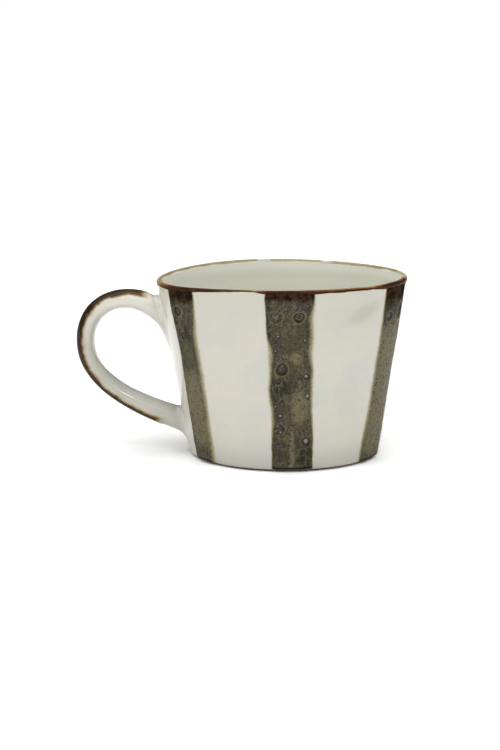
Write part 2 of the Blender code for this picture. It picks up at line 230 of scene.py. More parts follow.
@dataclass(frozen=True)
class CupForm:
    """The thrown cup: its sizes, its outline and where its surface lies."""

    height: float = 64.8
    rim_radius: float = 44.6
    base_radius: float = 34.7
    corner_radius: float = 1.4
    corner_lift: float = 0.7
    lip_radius: float = 1.15
    wall_at_base: float = 3.4
    floor_height: float = 6.0
    floor_fillet: float = 7.0
    foot_height: float = 2.4
    skirt_width: float = 0.6
    lip_push: tuple[tuple[int, float, float], ...] = ((1, -0.49, 0.0), (2, 0.68, -0.75), (3, -0.68, -0.23))
    lip_sway: tuple[tuple[int, float, float], ...] = ((1, 0.78, -0.08), (2, -0.43, -0.27), (3, 0.24, 0.0))
    waver_fade: float = 1.6
    step: float = 0.4
    dent: Dent = Dent()
    axis_x: float = field(default_factory=lambda: sum(c.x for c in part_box("foot_ring")) / 2 / MM)

    @property
    def lean(self) -> float:
        """The angle by which the wall leans out from upright."""
        return math.atan2(self.rim_radius - self.base_radius, self.height)

    def wall_radius(self, z: np.ndarray | float) -> np.ndarray | float:
        """The nominal outer radius of the wall at height z."""
        return self.base_radius + (self.rim_radius - self.base_radius) * z / self.height

    @property
    def corner_centre(self) -> tuple[float, float]:
        """The middle of the turn between the wall and the underside."""
        z = self.corner_lift + self.corner_radius
        return self.wall_radius(z) - self.corner_radius / math.cos(self.lean), z

    @property
    def lip_centre(self) -> tuple[float, float]:
        """The middle of the lip's round."""
        z = self.height - self.lip_radius
        return self.wall_radius(z) - self.lip_radius / math.cos(self.lean), z

    @property
    def skirt_inner_radius(self) -> float:
        """Where the flat under the wall ends and the foot ring's groove begins."""
        return self.corner_centre[0] - self.skirt_width

    def corner(self, start: float) -> np.ndarray:
        """The turn under the wall, from the angle start up to the wall."""
        return arc(self.corner_centre, self.corner_radius, start, -self.lean, self.step / 2)

    def lip(self) -> np.ndarray:
        """The round of the lip, from outside to inside."""
        return arc(self.lip_centre, self.lip_radius, -self.lean, math.pi + self.lean, self.step / 2)

    def inside(self) -> np.ndarray:
        """The inside, from the lip's round down to the middle of the floor."""
        top = self.lip()[-1]
        fillet = (
            self.wall_radius(self.floor_height) - self.wall_at_base - self.floor_fillet,
            self.floor_height + self.floor_fillet,
        )
        turn = arc(fillet, self.floor_fillet, 0.0, -math.pi / 2, self.step)
        middle = (self.step, self.floor_height)
        wall, floor = straight(top, turn[0], self.step), straight(turn[-1], middle, FLAT_STEP)
        return np.concatenate([wall, turn, floor, [middle]])

    def waver(self, angle: np.ndarray, radius: np.ndarray, z: np.ndarray) -> np.ndarray:
        """Moves nominal points as the maker's hands left them.

        Args:
            angle: Angles round the cup, from +X towards +Y.
            radius: Nominal distances from the cup's axis.
            z: Nominal heights.

        Returns:
            Points in space, with x, y, z on the last axis.
        """
        angle, radius, z = np.broadcast_arrays(angle, radius, z)
        share = np.clip(z / self.height, 0.0, 1.0) ** self.waver_fade
        radius = radius + wave(self.lip_push, angle) * share
        z = z + wave(self.lip_sway, angle) * share
        return spread(self.axis_x + radius * np.cos(angle), radius * np.sin(angle), z)

    def relief(self, angle: np.ndarray, radius: np.ndarray, z: np.ndarray) -> np.ndarray:
        """How far the wall's skin stands out from its nominal line: faint throwing waves, and the dent.

        Args:
            angle: Angles round the cup.
            radius: Nominal distances from the cup's axis.
            z: Nominal heights.

        Returns:
            The rise at each point.
        """
        angle, radius, z = np.broadcast_arrays(angle, radius, z)
        spot = spread(radius * np.cos(angle), radius * np.sin(angle), z * 1.4)
        held = smoothstep(1.0, 8.0, z) * smoothstep(self.height - 1.0, self.height - 7.0, z)
        rise = uneven(spot, (Seed.WALL, 17.0, 0.12), (Seed.WALL, 7.0, 0.035))
        rise = rise + 0.02 * np.sin(z * 1.35 + angle)
        return held * rise - self.dent.depth * self.dent_share(angle, radius, z)

    def dent_share(self, angle: np.ndarray, radius: np.ndarray, z: np.ndarray) -> np.ndarray:
        """How deep in the finger mark a place is.

        Args:
            angle: Angles round the cup.
            radius: Nominal distances from the cup's axis.
            z: Nominal heights.

        Returns:
            A share of the mark's depth.
        """
        dent = self.dent
        along = (angle - dent.angle) * self.rim_radius
        up = z - dent.height
        u = along * math.cos(dent.slope) + up * math.sin(dent.slope)
        v = up * math.cos(dent.slope) - along * math.sin(dent.slope)
        far = (u / dent.half_length) ** 2 + (v / dent.half_width) ** 2
        return np.exp(-(far**2)) * self.outside(radius, z)

    def outside(self, radius: np.ndarray, z: np.ndarray) -> np.ndarray:
        """1 on the outside of the wall and 0 on the inside.

        Args:
            radius: Nominal distances from the cup's axis.
            z: Nominal heights.

        Returns:
            The share of outside at each point.
        """
        return smoothstep(-1.6, -0.8, radius - self.wall_radius(z))


class Line:
    """An outline with its length measured, so that a place on it is a distance along it."""

    def __init__(self, points: np.ndarray) -> None:
        """Measures the outline.

        Args:
            points: Its points, as (radius, height), with the cup's clay on their left.
        """
        self.points = points
        steps = np.linalg.norm(np.diff(points, axis=0), axis=1)
        self.travel = np.concatenate([[0.0], np.cumsum(steps)])
        along = np.gradient(points, self.travel, axis=0)
        along /= np.linalg.norm(along, axis=1)[:, None]
        self.normals = np.stack([along[:, 1], -along[:, 0]], axis=1)

    @property
    def length(self) -> float:
        """The outline's whole length."""
        return float(self.travel[-1])

    def at(self, travel: np.ndarray) -> tuple[np.ndarray, np.ndarray, np.ndarray, np.ndarray]:
        """Looks up places on the outline.

        Args:
            travel: Distances along it.

        Returns:
            The radius, the height, and the outward normal's radius and height parts.
        """
        columns = np.concatenate([self.points, self.normals], axis=1)
        return tuple(np.interp(travel, self.travel, column) for column in columns.T)


class Wall:
    """The cup's skin, as a surface of angle and distance along the outline."""

    def __init__(self, form: CupForm, points: np.ndarray) -> None:
        """Keeps the form and measures the outline.

        Args:
            form: The cup.
            points: The stretch of its outline that is wanted.
        """
        self.form = form
        self.line = Line(points)

    def place(self, angle: np.ndarray, travel: np.ndarray, lift: np.ndarray | float = 0.0) -> np.ndarray:
        """Finds points on or above the skin.

        Args:
            angle: Angles round the cup.
            travel: Distances along the outline.
            lift: How far above the skin each point lies.

        Returns:
            Points in space, with x, y, z on the last axis.
        """
        radius, z, out, up = self.line.at(travel)
        lift = lift + self.form.relief(angle, radius, z)
        return self.form.waver(angle, radius + out * lift, z + up * lift)


@dataclass(frozen=True)
class Root:
    """One end of the strap, which way leads into it, and how far the joining clay spreads there."""

    share: float
    way: float
    above: float
    below: float
    beside: float


UPPER_ROOT = Root(0.0, 1.0, above=4.2, below=8.5, beside=4.4)
LOWER_ROOT = Root(1.0, -1.0, above=2.6, below=4.2, beside=3.6)


@dataclass(frozen=True)
class StrapForm:
    """The pulled handle: the line of its middle, its section, and how it meets the wall."""

    cup: CupForm
    reach: float = 27.6
    outer_drop: float = 23.6
    upper_root_drop: float = 16.9
    upper_root_rise: float = math.radians(49)
    upper_root_pull: float = 18.0
    lower_root_height: float = 11.2
    lower_root_rise: float = math.radians(18)
    lower_root_pull: float = 22.6
    pull_up: float = 16.0
    pull_down: float = 14.8
    root_depth: float = 1.0
    length: float = 150.0
    half_thickness: tuple[float, float, float] = (3.0, 4.5, 4.3)
    half_width: tuple[float, float, float] = (5.6, 6.8, 6.2)
    flare_share: float = 0.3
    section_power: float = 2.4

    def middle(self, share: np.ndarray) -> np.ndarray:
        """The strap's middle line, as (x from the cup's axis, z).

        Args:
            share: Places along the strap, from 0 at the upper root to 1 at the lower one.

        Returns:
            Points, with x and z on the last axis.
        """
        cup = self.cup
        top_height = cup.height - self.upper_root_drop
        top = np.array([self.root_depth - cup.wall_radius(top_height), top_height])
        low = np.array([self.root_depth - cup.wall_radius(self.lower_root_height), self.lower_root_height])
        outermost = np.array([-cup.rim_radius - self.reach, cup.height - self.outer_drop])
        rise = np.array([-math.cos(self.upper_root_rise), math.sin(self.upper_root_rise)])
        fall = np.array([-math.cos(self.lower_root_rise), math.sin(self.lower_root_rise)])
        up, down = np.array([0, self.pull_up]), np.array([0, self.pull_down])
        upper = (top, top + rise * self.upper_root_pull, outermost + up, outermost)
        lower = (outermost, outermost - down, low + fall * self.lower_root_pull, low)
        first = self.bezier(upper, share * 2)
        second = self.bezier(lower, share * 2 - 1)
        return np.where((share <= 0.5)[..., None], first, second)

    @staticmethod
    def bezier(points: Sequence[np.ndarray], share: np.ndarray) -> np.ndarray:
        """Points on a cubic curve.

        Args:
            points: Its four control points.
            share: Places along it, from 0 to 1.

        Returns:
            The points, with their coordinates on the last axis.
        """
        t = share[..., None]
        rest = 1 - t
        a, b, c, d = points
        return a * rest**3 + b * 3 * rest**2 * t + c * 3 * rest * t**2 + d * t**3

    def swollen(self, sizes: tuple[float, float, float], share: np.ndarray) -> np.ndarray:
        """A size of the section that grows from its middle value towards each root.

        Args:
            sizes: The size along the middle, at the upper root and at the lower root.
            share: Places along the strap.

        Returns:
            The size at each place.
        """
        middle, top, low = sizes
        to_top = np.clip(1 - share / self.flare_share, 0, 1.2) ** 2
        to_low = np.clip(1 - (1 - share) / self.flare_share, 0, 1.2) ** 2
        return middle + (top - middle) * to_top + (low - middle) * to_low

    def place(self, share: np.ndarray, side: np.ndarray, lift: np.ndarray | float = 0.0) -> np.ndarray:
        """Finds points on or above the strap's skin.

        Args:
            share: Places along the strap.
            side: Angles round its section, where 0 faces out of the loop and half a turn faces its hole.
            lift: How far above the skin each point lies.

        Returns:
            Points in space, with x, y, z on the last axis.
        """
        share, side = np.broadcast_arrays(share, side)
        step = 1e-3
        along = self.middle(share + step) - self.middle(share - step)
        along /= np.linalg.norm(along, axis=-1)[..., None]
        out = spread(along[..., 1], -along[..., 0])
        c, s = np.cos(side), np.sin(side)
        power = 2 / self.section_power
        across = np.sign(c) * np.abs(c) ** power * (self.swollen(self.half_thickness, share) + lift)
        aside = np.sign(s) * np.abs(s) ** power * (self.swollen(self.half_width, share) + lift)
        spot = self.middle(share) + out * across[..., None]
        return spread(self.cup.axis_x + spot[..., 0], aside, spot[..., 1])

    def off_wall(self, points: np.ndarray) -> np.ndarray:
        """How far points lie outside the cup's wall, measured level from its axis."""
        x, y = points[..., 0] - self.cup.axis_x, points[..., 1]
        return np.hypot(x, y) - self.wall_reach(np.arctan2(y, x), points[..., 2])

    def wall_reach(self, angle: np.ndarray, height: np.ndarray) -> np.ndarray:
        """How far out the cup's wall lies, measured from its axis.

        Args:
            angle: Angles round the cup.
            height: Heights above the table.

        Returns:
            The distance at each place.
        """
        cup = self.cup
        share = np.clip(height / cup.height, 0.0, 1.0) ** cup.waver_fade
        nominal = height - wave(cup.lip_sway, angle) * share
        radius = cup.wall_radius(nominal)
        return radius + wave(cup.lip_push, angle) * share + cup.relief(angle, radius, nominal)

    def root_share(self, side: np.ndarray, root: Root, clearance: float, lift: float = 0.0) -> np.ndarray:
        """Where along the strap its skin comes this far clear of the wall.

        Args:
            side: Angles round the section.
            root: Which end of the strap.
            clearance: The wanted distance off the wall, which may be negative.
            lift: How far above the strap's skin the measured points lie.

        Returns:
            The share of the strap for each side.
        """
        within, beyond, halvings = 0.12, 0.3, 30
        inside = np.full_like(side, root.share - root.way * within)
        outside = np.full_like(side, root.share + root.way * beyond)
        for _ in range(halvings):
            half = (inside + outside) / 2
            deep = self.off_wall(self.place(half, side, lift)) < clearance
            inside = np.where(deep, half, inside)
            outside = np.where(deep, outside, half)
        return outside


# Meshes


def put_in_scene(name: str, data: bpy.types.ID) -> bpy.types.Object:
    """Makes an object of a mesh, a lamp or a camera.

    Args:
        name: The object's name.
        data: What it shows.

    Returns:
        The new object, in the scene.
    """
    made = bpy.data.objects.new(name, data)
    bpy.context.scene.collection.objects.link(made)
    return made


class Ends(Enum):
    """How the first and the last row of a grid of points are closed."""

    FANS = "each row is closed by a fan round its middle"
    JOINED = "the last row joins the first"


@dataclass
class Shape:
    """The points, faces and fields of one closed mesh."""

    points: np.ndarray
    faces: list[tuple[int, ...]]
    fields: dict[str, np.ndarray] = field(default_factory=dict)

    @classmethod
    def turned(cls, rows: np.ndarray, ends: Ends, **fields: np.ndarray) -> Shape:
        """Closes a grid whose rows each run all the way round.

        Args:
            rows: Points, as an array of rows, columns and x, y, z.
            ends: What closes the first and the last row.
            fields: Values at the points, as arrays of rows and columns.

        Returns:
            The closed shape.
        """
        count, columns = rows.shape[:2]
        joined = ends is Ends.JOINED
        points = rows.reshape(-1, 3)
        lows = np.arange(count if joined else count - 1)
        low, column = (a.ravel() for a in np.meshgrid(lows, np.arange(columns), indexing="ij"))
        high, after = (low + 1) % count, (column + 1) % columns
        here, there = low * columns, high * columns
        corners = np.stack([here + column, here + after, there + after, there + column], axis=1)
        faces = [tuple(face) for face in corners.tolist()]
        flat = {name: values.ravel() for name, values in fields.items()}
        if joined:
            return cls(points, faces, flat)
        points = np.concatenate([points, [rows[0].mean(0), rows[-1].mean(0)]])
        for row, middle in ((0, len(points) - 2), (count - 1, len(points) - 1)):
            start = row * columns
            faces += [(start + i, start + (i + 1) % columns, middle) for i in range(columns)]
        for name, values in fields.items():
            flat[name] = np.concatenate([flat[name], [values[0].mean(), values[-1].mean()]])
        return cls(points, faces, flat)

    @classmethod
    def skin(cls, front: np.ndarray, back: np.ndarray, wrap: bool, **fields: np.ndarray) -> Shape:
        """Closes a patch of skin with a back that is sunk in what it lies on.

        Args:
            front: The patch's points, as an array of rows, columns and x, y, z.
            back: The points behind them.
            wrap: Whether the columns run all the way round.
            fields: Values at the front's points, which the back repeats.

        Returns:
            The closed shape.
        """
        if wrap:
            rows = np.concatenate([front, back[::-1]])
            doubled = {name: np.concatenate([v, v[::-1]]) for name, v in fields.items()}
            return cls.turned(rows, Ends.JOINED, **doubled)
        rows = np.concatenate([front, back[:, ::-1]], axis=1)
        doubled = {name: np.concatenate([v, v[:, ::-1]], axis=1) for name, v in fields.items()}
        shape = cls.turned(rows, Ends.FANS, **doubled)
        count, columns = front.shape[:2]
        shape.points = shape.points[:-2]
        shape.fields = {name: values[:-2] for name, values in shape.fields.items()}
        shape.faces = shape.faces[: (count - 1) * columns * 2]
        for start in (0, (count - 1) * columns * 2):
            last = start + columns * 2 - 1
            shape.faces += [(start + i, start + i + 1, last - i - 1, last - i) for i in range(columns - 1)]
        return shape

    def piece(self, name: str, finish: bpy.types.Material, node: str, slot: str) -> bpy.types.Object:
        """Makes the object, and hands it to the frame.

        Args:
            name: The piece's name.
            finish: Its material.
            node: The CAD node that it stands for.
            slot: The record's material slot that its finish comes from; it is not used.

        Returns:
            The new object.
        """
        mesh = bpy.data.meshes.new(name)
        mesh.from_pydata((self.points * MM).tolist(), [], self.faces)
        facing = bmesh.new()
        facing.from_mesh(mesh)
        bmesh.ops.recalc_face_normals(facing, faces=facing.faces)
        facing.to_mesh(mesh)
        facing.free()
        mesh.shade_smooth()
        mesh.set_sharp_from_angle(angle=SHARP_ANGLE)
        for label, values in self.fields.items():
            layer = mesh.attributes.new(label, "FLOAT", "POINT")
            layer.data.foreach_set("value", values.astype(np.float32))
        mesh.materials.append(finish)
        made = put_in_scene(name, mesh)
        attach(made, "root")
        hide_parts(node)
        LOG.info("%s: %d points, %d faces", name, len(self.points), len(self.faces))
        return made


# Shader maths


class Value:
    """A number that varies over a surface. Arithmetic on it adds Math nodes."""

    def __init__(self, graph: Graph, socket: bpy.types.NodeSocket) -> None:
        """Wraps an output socket.

        Args:
            graph: The material's graph.
            socket: The socket that gives the number.
        """
        self.graph = graph
        self.socket = socket

    def math(self, operation: str, *inputs: Value | float) -> Value:
        """Adds one Math node.

        Args:
            operation: What the node does.
            inputs: Its inputs in order.

        Returns:
            The node's result.
        """
        result = self.graph.node("ShaderNodeMath", {"operation": operation}, dict(enumerate(inputs)))
        return Value(self.graph, result)

    def __add__(self, other: Value | float) -> Value:
        """Adds."""
        return self.math("ADD", self, other)

    def __sub__(self, other: Value | float) -> Value:
        """Takes away."""
        return self.math("SUBTRACT", self, other)

    def __rsub__(self, other: float) -> Value:
        """Is taken away from a number."""
        return self.math("SUBTRACT", other, self)

    def __mul__(self, other: Value | float) -> Value:
        """Multiplies."""
        return self.math("MULTIPLY", self, other)

    __radd__ = __add__
    __rmul__ = __mul__

    def step(self, low: float, high: float) -> Value:
        """Rises smoothly from 0 at low to 1 at high, and may fall instead.

        Args:
            low: Where the result is 0.
            high: Where the result is 1.

        Returns:
            The step.
        """
        settings = {"interpolation_type": "SMOOTHSTEP"}
        if low < high:
            inputs = {"Value": self, "From Min": low, "From Max": high, "To Min": 0.0, "To Max": 1.0}
        else:
            inputs = {"Value": self, "From Min": high, "From Max": low, "To Min": 1.0, "To Max": 0.0}
        return Value(self.graph, self.graph.node("ShaderNodeMapRange", settings, inputs))


class Colour:
    """A colour that varies over a surface."""

    def __init__(self, graph: Graph, socket: bpy.types.NodeSocket) -> None:
        """Wraps an output socket.

        Args:
            graph: The material's graph.
            socket: The socket that gives the colour.
        """
        self.graph = graph
        self.socket = socket

    def mixed(self, other: Colour | Sequence[float], share: Value | float) -> Colour:
        """Mixes this much of another colour in."""
        return self.graph.mix(self, other, share)


Input = Value | Colour | float | Sequence[float] | bpy.types.NodeSocket
Stops = Sequence[tuple[float, Sequence[float]]]
RGBA_MIX = {"factor": 0, "a": 6, "b": 7, "result": 2}  # a Mix node's sockets for colours, by number


class Graph:
    """The nodes of a material or of the surroundings, and the shader that they feed."""

    def __init__(self, owner: bpy.types.Material | bpy.types.World, shader: str) -> None:
        """Starts from the nodes that come with a new material or world.

        Args:
            owner: What the nodes belong to.
            shader: The name of its shader node.
        """
        owner.use_nodes = True
        self.owner = owner
        self.tree = owner.node_tree
        self.shader = self.tree.nodes[shader]

    @classmethod
    def of_material(cls, name: str) -> Graph:
        """Starts a material of this name."""
        return cls(bpy.data.materials.new(name), "Principled BSDF")

    def node(
        self,
        kind: str,
        settings: Mapping[str, object],
        inputs: Mapping[int | str, Input],
        output: int | str = 0,
    ) -> bpy.types.NodeSocket:
        """Adds a node.

        Args:
            kind: The node's type.
            settings: Its own settings, set before its sockets; "stops" are a ramp's stops.
            inputs: Values or links for its sockets, by name or number.
            output: Which output is wanted.

        Returns:
            The output socket.
        """
        made = self.tree.nodes.new(kind)
        for key, setting in settings.items():
            if key == "stops":
                self.set_stops(made.color_ramp, setting)
            else:
                setattr(made, key, setting)
        for key, given in inputs.items():
            self.feed(made.inputs[key], given)
        return made.outputs[output]

    @staticmethod
    def set_stops(ramp: bpy.types.ColorRamp, stops: Stops) -> None:
        """Gives a ramp its stops.

        Args:
            ramp: The ramp.
            stops: Each stop's place and colour.
        """
        while len(ramp.elements) < len(stops):
            ramp.elements.new(0.5)
        for element, (place, colour) in zip(ramp.elements, stops):
            element.position = place
            element.color = (*colour, 1.0)

    def feed(self, socket: bpy.types.NodeSocket, given: Input) -> None:
        """Links a socket, or sets its value.

        Args:
            socket: The input socket.
            given: What goes into it.
        """
        if isinstance(given, (Value, Colour)):
            self.tree.links.new(given.socket, socket)
        elif isinstance(given, bpy.types.NodeSocket):
            self.tree.links.new(given, socket)
        elif socket.type == "RGBA":
            socket.default_value = (*given, 1.0)
        else:
            socket.default_value = given

    def mix(
        self, first: Colour | Sequence[float], other: Colour | Sequence[float], share: Value | float
    ) -> Colour:
        """Mixes two colours.

        Args:
            first: The first colour.
            other: The second colour.
            share: How much of the second.

        Returns:
            The mixture.
        """
        inputs = {RGBA_MIX["factor"]: share, RGBA_MIX["a"]: first, RGBA_MIX["b"]: other}
        return Colour(self, self.node("ShaderNodeMix", {"data_type": "RGBA"}, inputs, RGBA_MIX["result"]))

    def ramp(self, place: Value, stops: Stops) -> Colour:
        """Looks a value up among colour stops."""
        return Colour(self, self.node("ShaderNodeValToRGB", {"stops": stops}, {"Fac": place}, "Color"))

    def place(self, stretch: tuple[float, float, float] = (1.0, 1.0, 1.0)) -> bpy.types.NodeSocket:
        """Places on the surface in millimetres.

        Args:
            stretch: What each axis is multiplied by.

        Returns:
            A vector socket.
        """
        own = self.node("ShaderNodeTexCoord", {}, {}, "Object")
        scale = tuple(part / MM for part in stretch)
        return self.node("ShaderNodeVectorMath", {"operation": "MULTIPLY"}, {0: own, 1: scale})

    def bent(self, place: bpy.types.NodeSocket, size: float, depth: float) -> bpy.types.NodeSocket:
        """Places that are pushed about by a noise, so that patterns lose their straightness.

        Args:
            place: The places.
            size: The length of one wave.
            depth: How far they are pushed.

        Returns:
            A vector socket.
        """
        push = self.node("ShaderNodeTexNoise", {}, {"Vector": place, "Scale": 1 / size}, "Color")
        inputs = {0: push, 1: (depth,) * 3, 2: place}
        return self.node("ShaderNodeVectorMath", {"operation": "MULTIPLY_ADD"}, inputs)

    def height(self) -> Value:
        """The height above the table in millimetres."""
        return Value(self, self.node("ShaderNodeSeparateXYZ", {}, {"Vector": self.place()}, "Z"))

    def field(self, name: str) -> Value:
        """A field of the mesh."""
        return Value(self, self.node("ShaderNodeAttribute", {"attribute_name": name}, {}, "Fac"))

    def noise(
        self, place: bpy.types.NodeSocket, size: float, detail: float = 2.0, bend: float = 0.0
    ) -> Value:
        """Cloudy noise.

        Args:
            place: Where it is looked up.
            size: The length of one cloud.
            detail: How many finer layers it has.
            bend: How far it is distorted.

        Returns:
            A value around 0.5.
        """
        inputs = {"Vector": place, "Scale": 1 / size, "Detail": detail, "Distortion": bend}
        return Value(self, self.node("ShaderNodeTexNoise", {}, inputs, "Fac"))

    def cells(self, place: bpy.types.NodeSocket, size: float, feature: str = "F1") -> Value:
        """The distance to the nearest of many scattered points, or between cells, in cell sizes."""
        inputs = {"Vector": place, "Scale": 1 / size}
        return Value(self, self.node("ShaderNodeTexVoronoi", {"feature": feature}, inputs, "Distance"))

    def bump(self, height: Value, depth: float) -> bpy.types.NodeSocket:
        """A normal from a height field.

        Args:
            height: The height, from 0 to 1.
            depth: What a height of 1 is, in millimetres.

        Returns:
            The normal.
        """
        inputs = {"Strength": 1.0, "Distance": depth * MM, "Height": height}
        return self.node("ShaderNodeBump", {}, inputs, "Normal")

    def dress(self, **inputs: Input) -> bpy.types.Material | bpy.types.World:
        """Feeds the shader.

        Args:
            inputs: Its inputs, with _ for a space and the names in lower case.

        Returns:
            The finished material or world.
        """
        named = {socket.name.lower().replace(" ", "_"): socket for socket in self.shader.inputs}
        for name, given in inputs.items():
            self.feed(named[name], given)
        return self.owner


# Finishes


Tint = tuple[float, float, float]
Span = tuple[float, float]  # from and to


class Tone(Enum):
    """The tones that gather in patches of a stripe."""

    PLUM = "plum"
    KHAKI = "khaki"
    AMBER = "amber"
    DEEP = "deep"


@dataclass(frozen=True)
class WhiteGlaze:
    """Glossy cream-white glaze over grey stoneware, with painted shade darkening it towards the foot."""

    name: str = "white_glaze"
    cream: Tint = (0.508, 0.492, 0.425)
    cool: Tint = (0.472, 0.476, 0.430)
    warm: Tint = (0.532, 0.488, 0.434)
    wall: Tint = (0.505, 0.492, 0.430)
    crest: Tint = (0.470, 0.456, 0.392)
    # thin is darker and greyer: painted shade towards the foot, on the cup and on the strap.
    thin: Tint = (0.390, 0.385, 0.340)
    inner: Tint = (0.59, 0.592, 0.505)
    inner_highlight: Tint = (0.78, 0.77, 0.68)
    shadow: Tint = (0.415, 0.386, 0.332)
    pinhole: Tint = (0.34, 0.27, 0.19)
    crest_heights: Span = (38.0, 62.0)
    foot_shade_heights: Span = (12.0, -1.0)
    inner_highlight_heights: Span = (59.5, 65.5)

    def tint(self, graph: Graph) -> Colour:
        """The glaze's colour, which the other glazes also thin out to.

        Args:
            graph: The graph of the material that shows it.

        Returns:
            The colour.
        """
        place = graph.place()
        tint = graph.mix(self.cream, self.cool, graph.noise(place, 12.0, 3.0).step(0.45, 0.65) * 0.9)
        tint = tint.mixed(self.warm, graph.noise(place, 8.0, 2.0).step(0.5, 0.68) * 0.8)
        tint = tint.mixed(self.wall, graph.field("toe"))
        # Crest: darker towards the top of the cup; on the strap, a lighter painted highlight.
        tint = tint.mixed(self.crest, graph.height().step(*self.crest_heights) * 0.8)
        # Darker and greyer towards the foot: painted shade at the base.
        return tint.mixed(self.thin, graph.height().step(*self.foot_shade_heights))

    def make(self) -> bpy.types.Material:
        """Builds the material.

        Returns:
            The finished material.
        """
        graph = Graph.of_material(self.name)
        place = graph.place()
        # Lighter just under the lip on the inside: a painted highlight.
        inner = graph.mix(self.inner, self.inner_highlight, graph.height().step(*self.inner_highlight_heights))
        tint = self.tint(graph).mixed(inner, graph.field("inside"))
        tint = tint.mixed(self.shadow, graph.field("dented") * 0.9)
        holes = graph.cells(place, 6.5).step(0.035, 0.02)
        tint = tint.mixed(self.pinhole, holes * 0.5)
        peel = graph.noise(place, 1.6, 2.0) * 0.6 + graph.noise(place, 5.0, 1.0)
        return graph.dress(
            base_color=tint,
            roughness=graph.noise(place, 3.0, 2.0) * 0.08 + 0.06,
            ior=1.5,
            normal=graph.bump(peel, 0.035),
        )


@dataclass(frozen=True)
class BareClay:
    """Fired stoneware without glaze, with the turning tool's drag and dark grit."""

    body: Tint = (0.47, 0.36, 0.26)
    toasted: Tint = (0.36, 0.22, 0.13)
    grit: Tint = (0.12, 0.08, 0.06)

    def make(self) -> bpy.types.Material:
        """Builds the material.

        Returns:
            The finished material.
        """
        graph = Graph.of_material("bare_clay")
        place = graph.place()
        tint = graph.mix(self.body, self.toasted, graph.noise(place, 8.0, 4.0).step(0.4, 0.7))
        specks = graph.cells(place, 1.1).step(0.22, 0.12)
        tint = tint.mixed(self.grit, specks * 0.7)
        grain = graph.noise(place, 0.35, 3.0) + specks * 0.4
        return graph.dress(base_color=tint, roughness=0.82, normal=graph.bump(grain, 0.06))


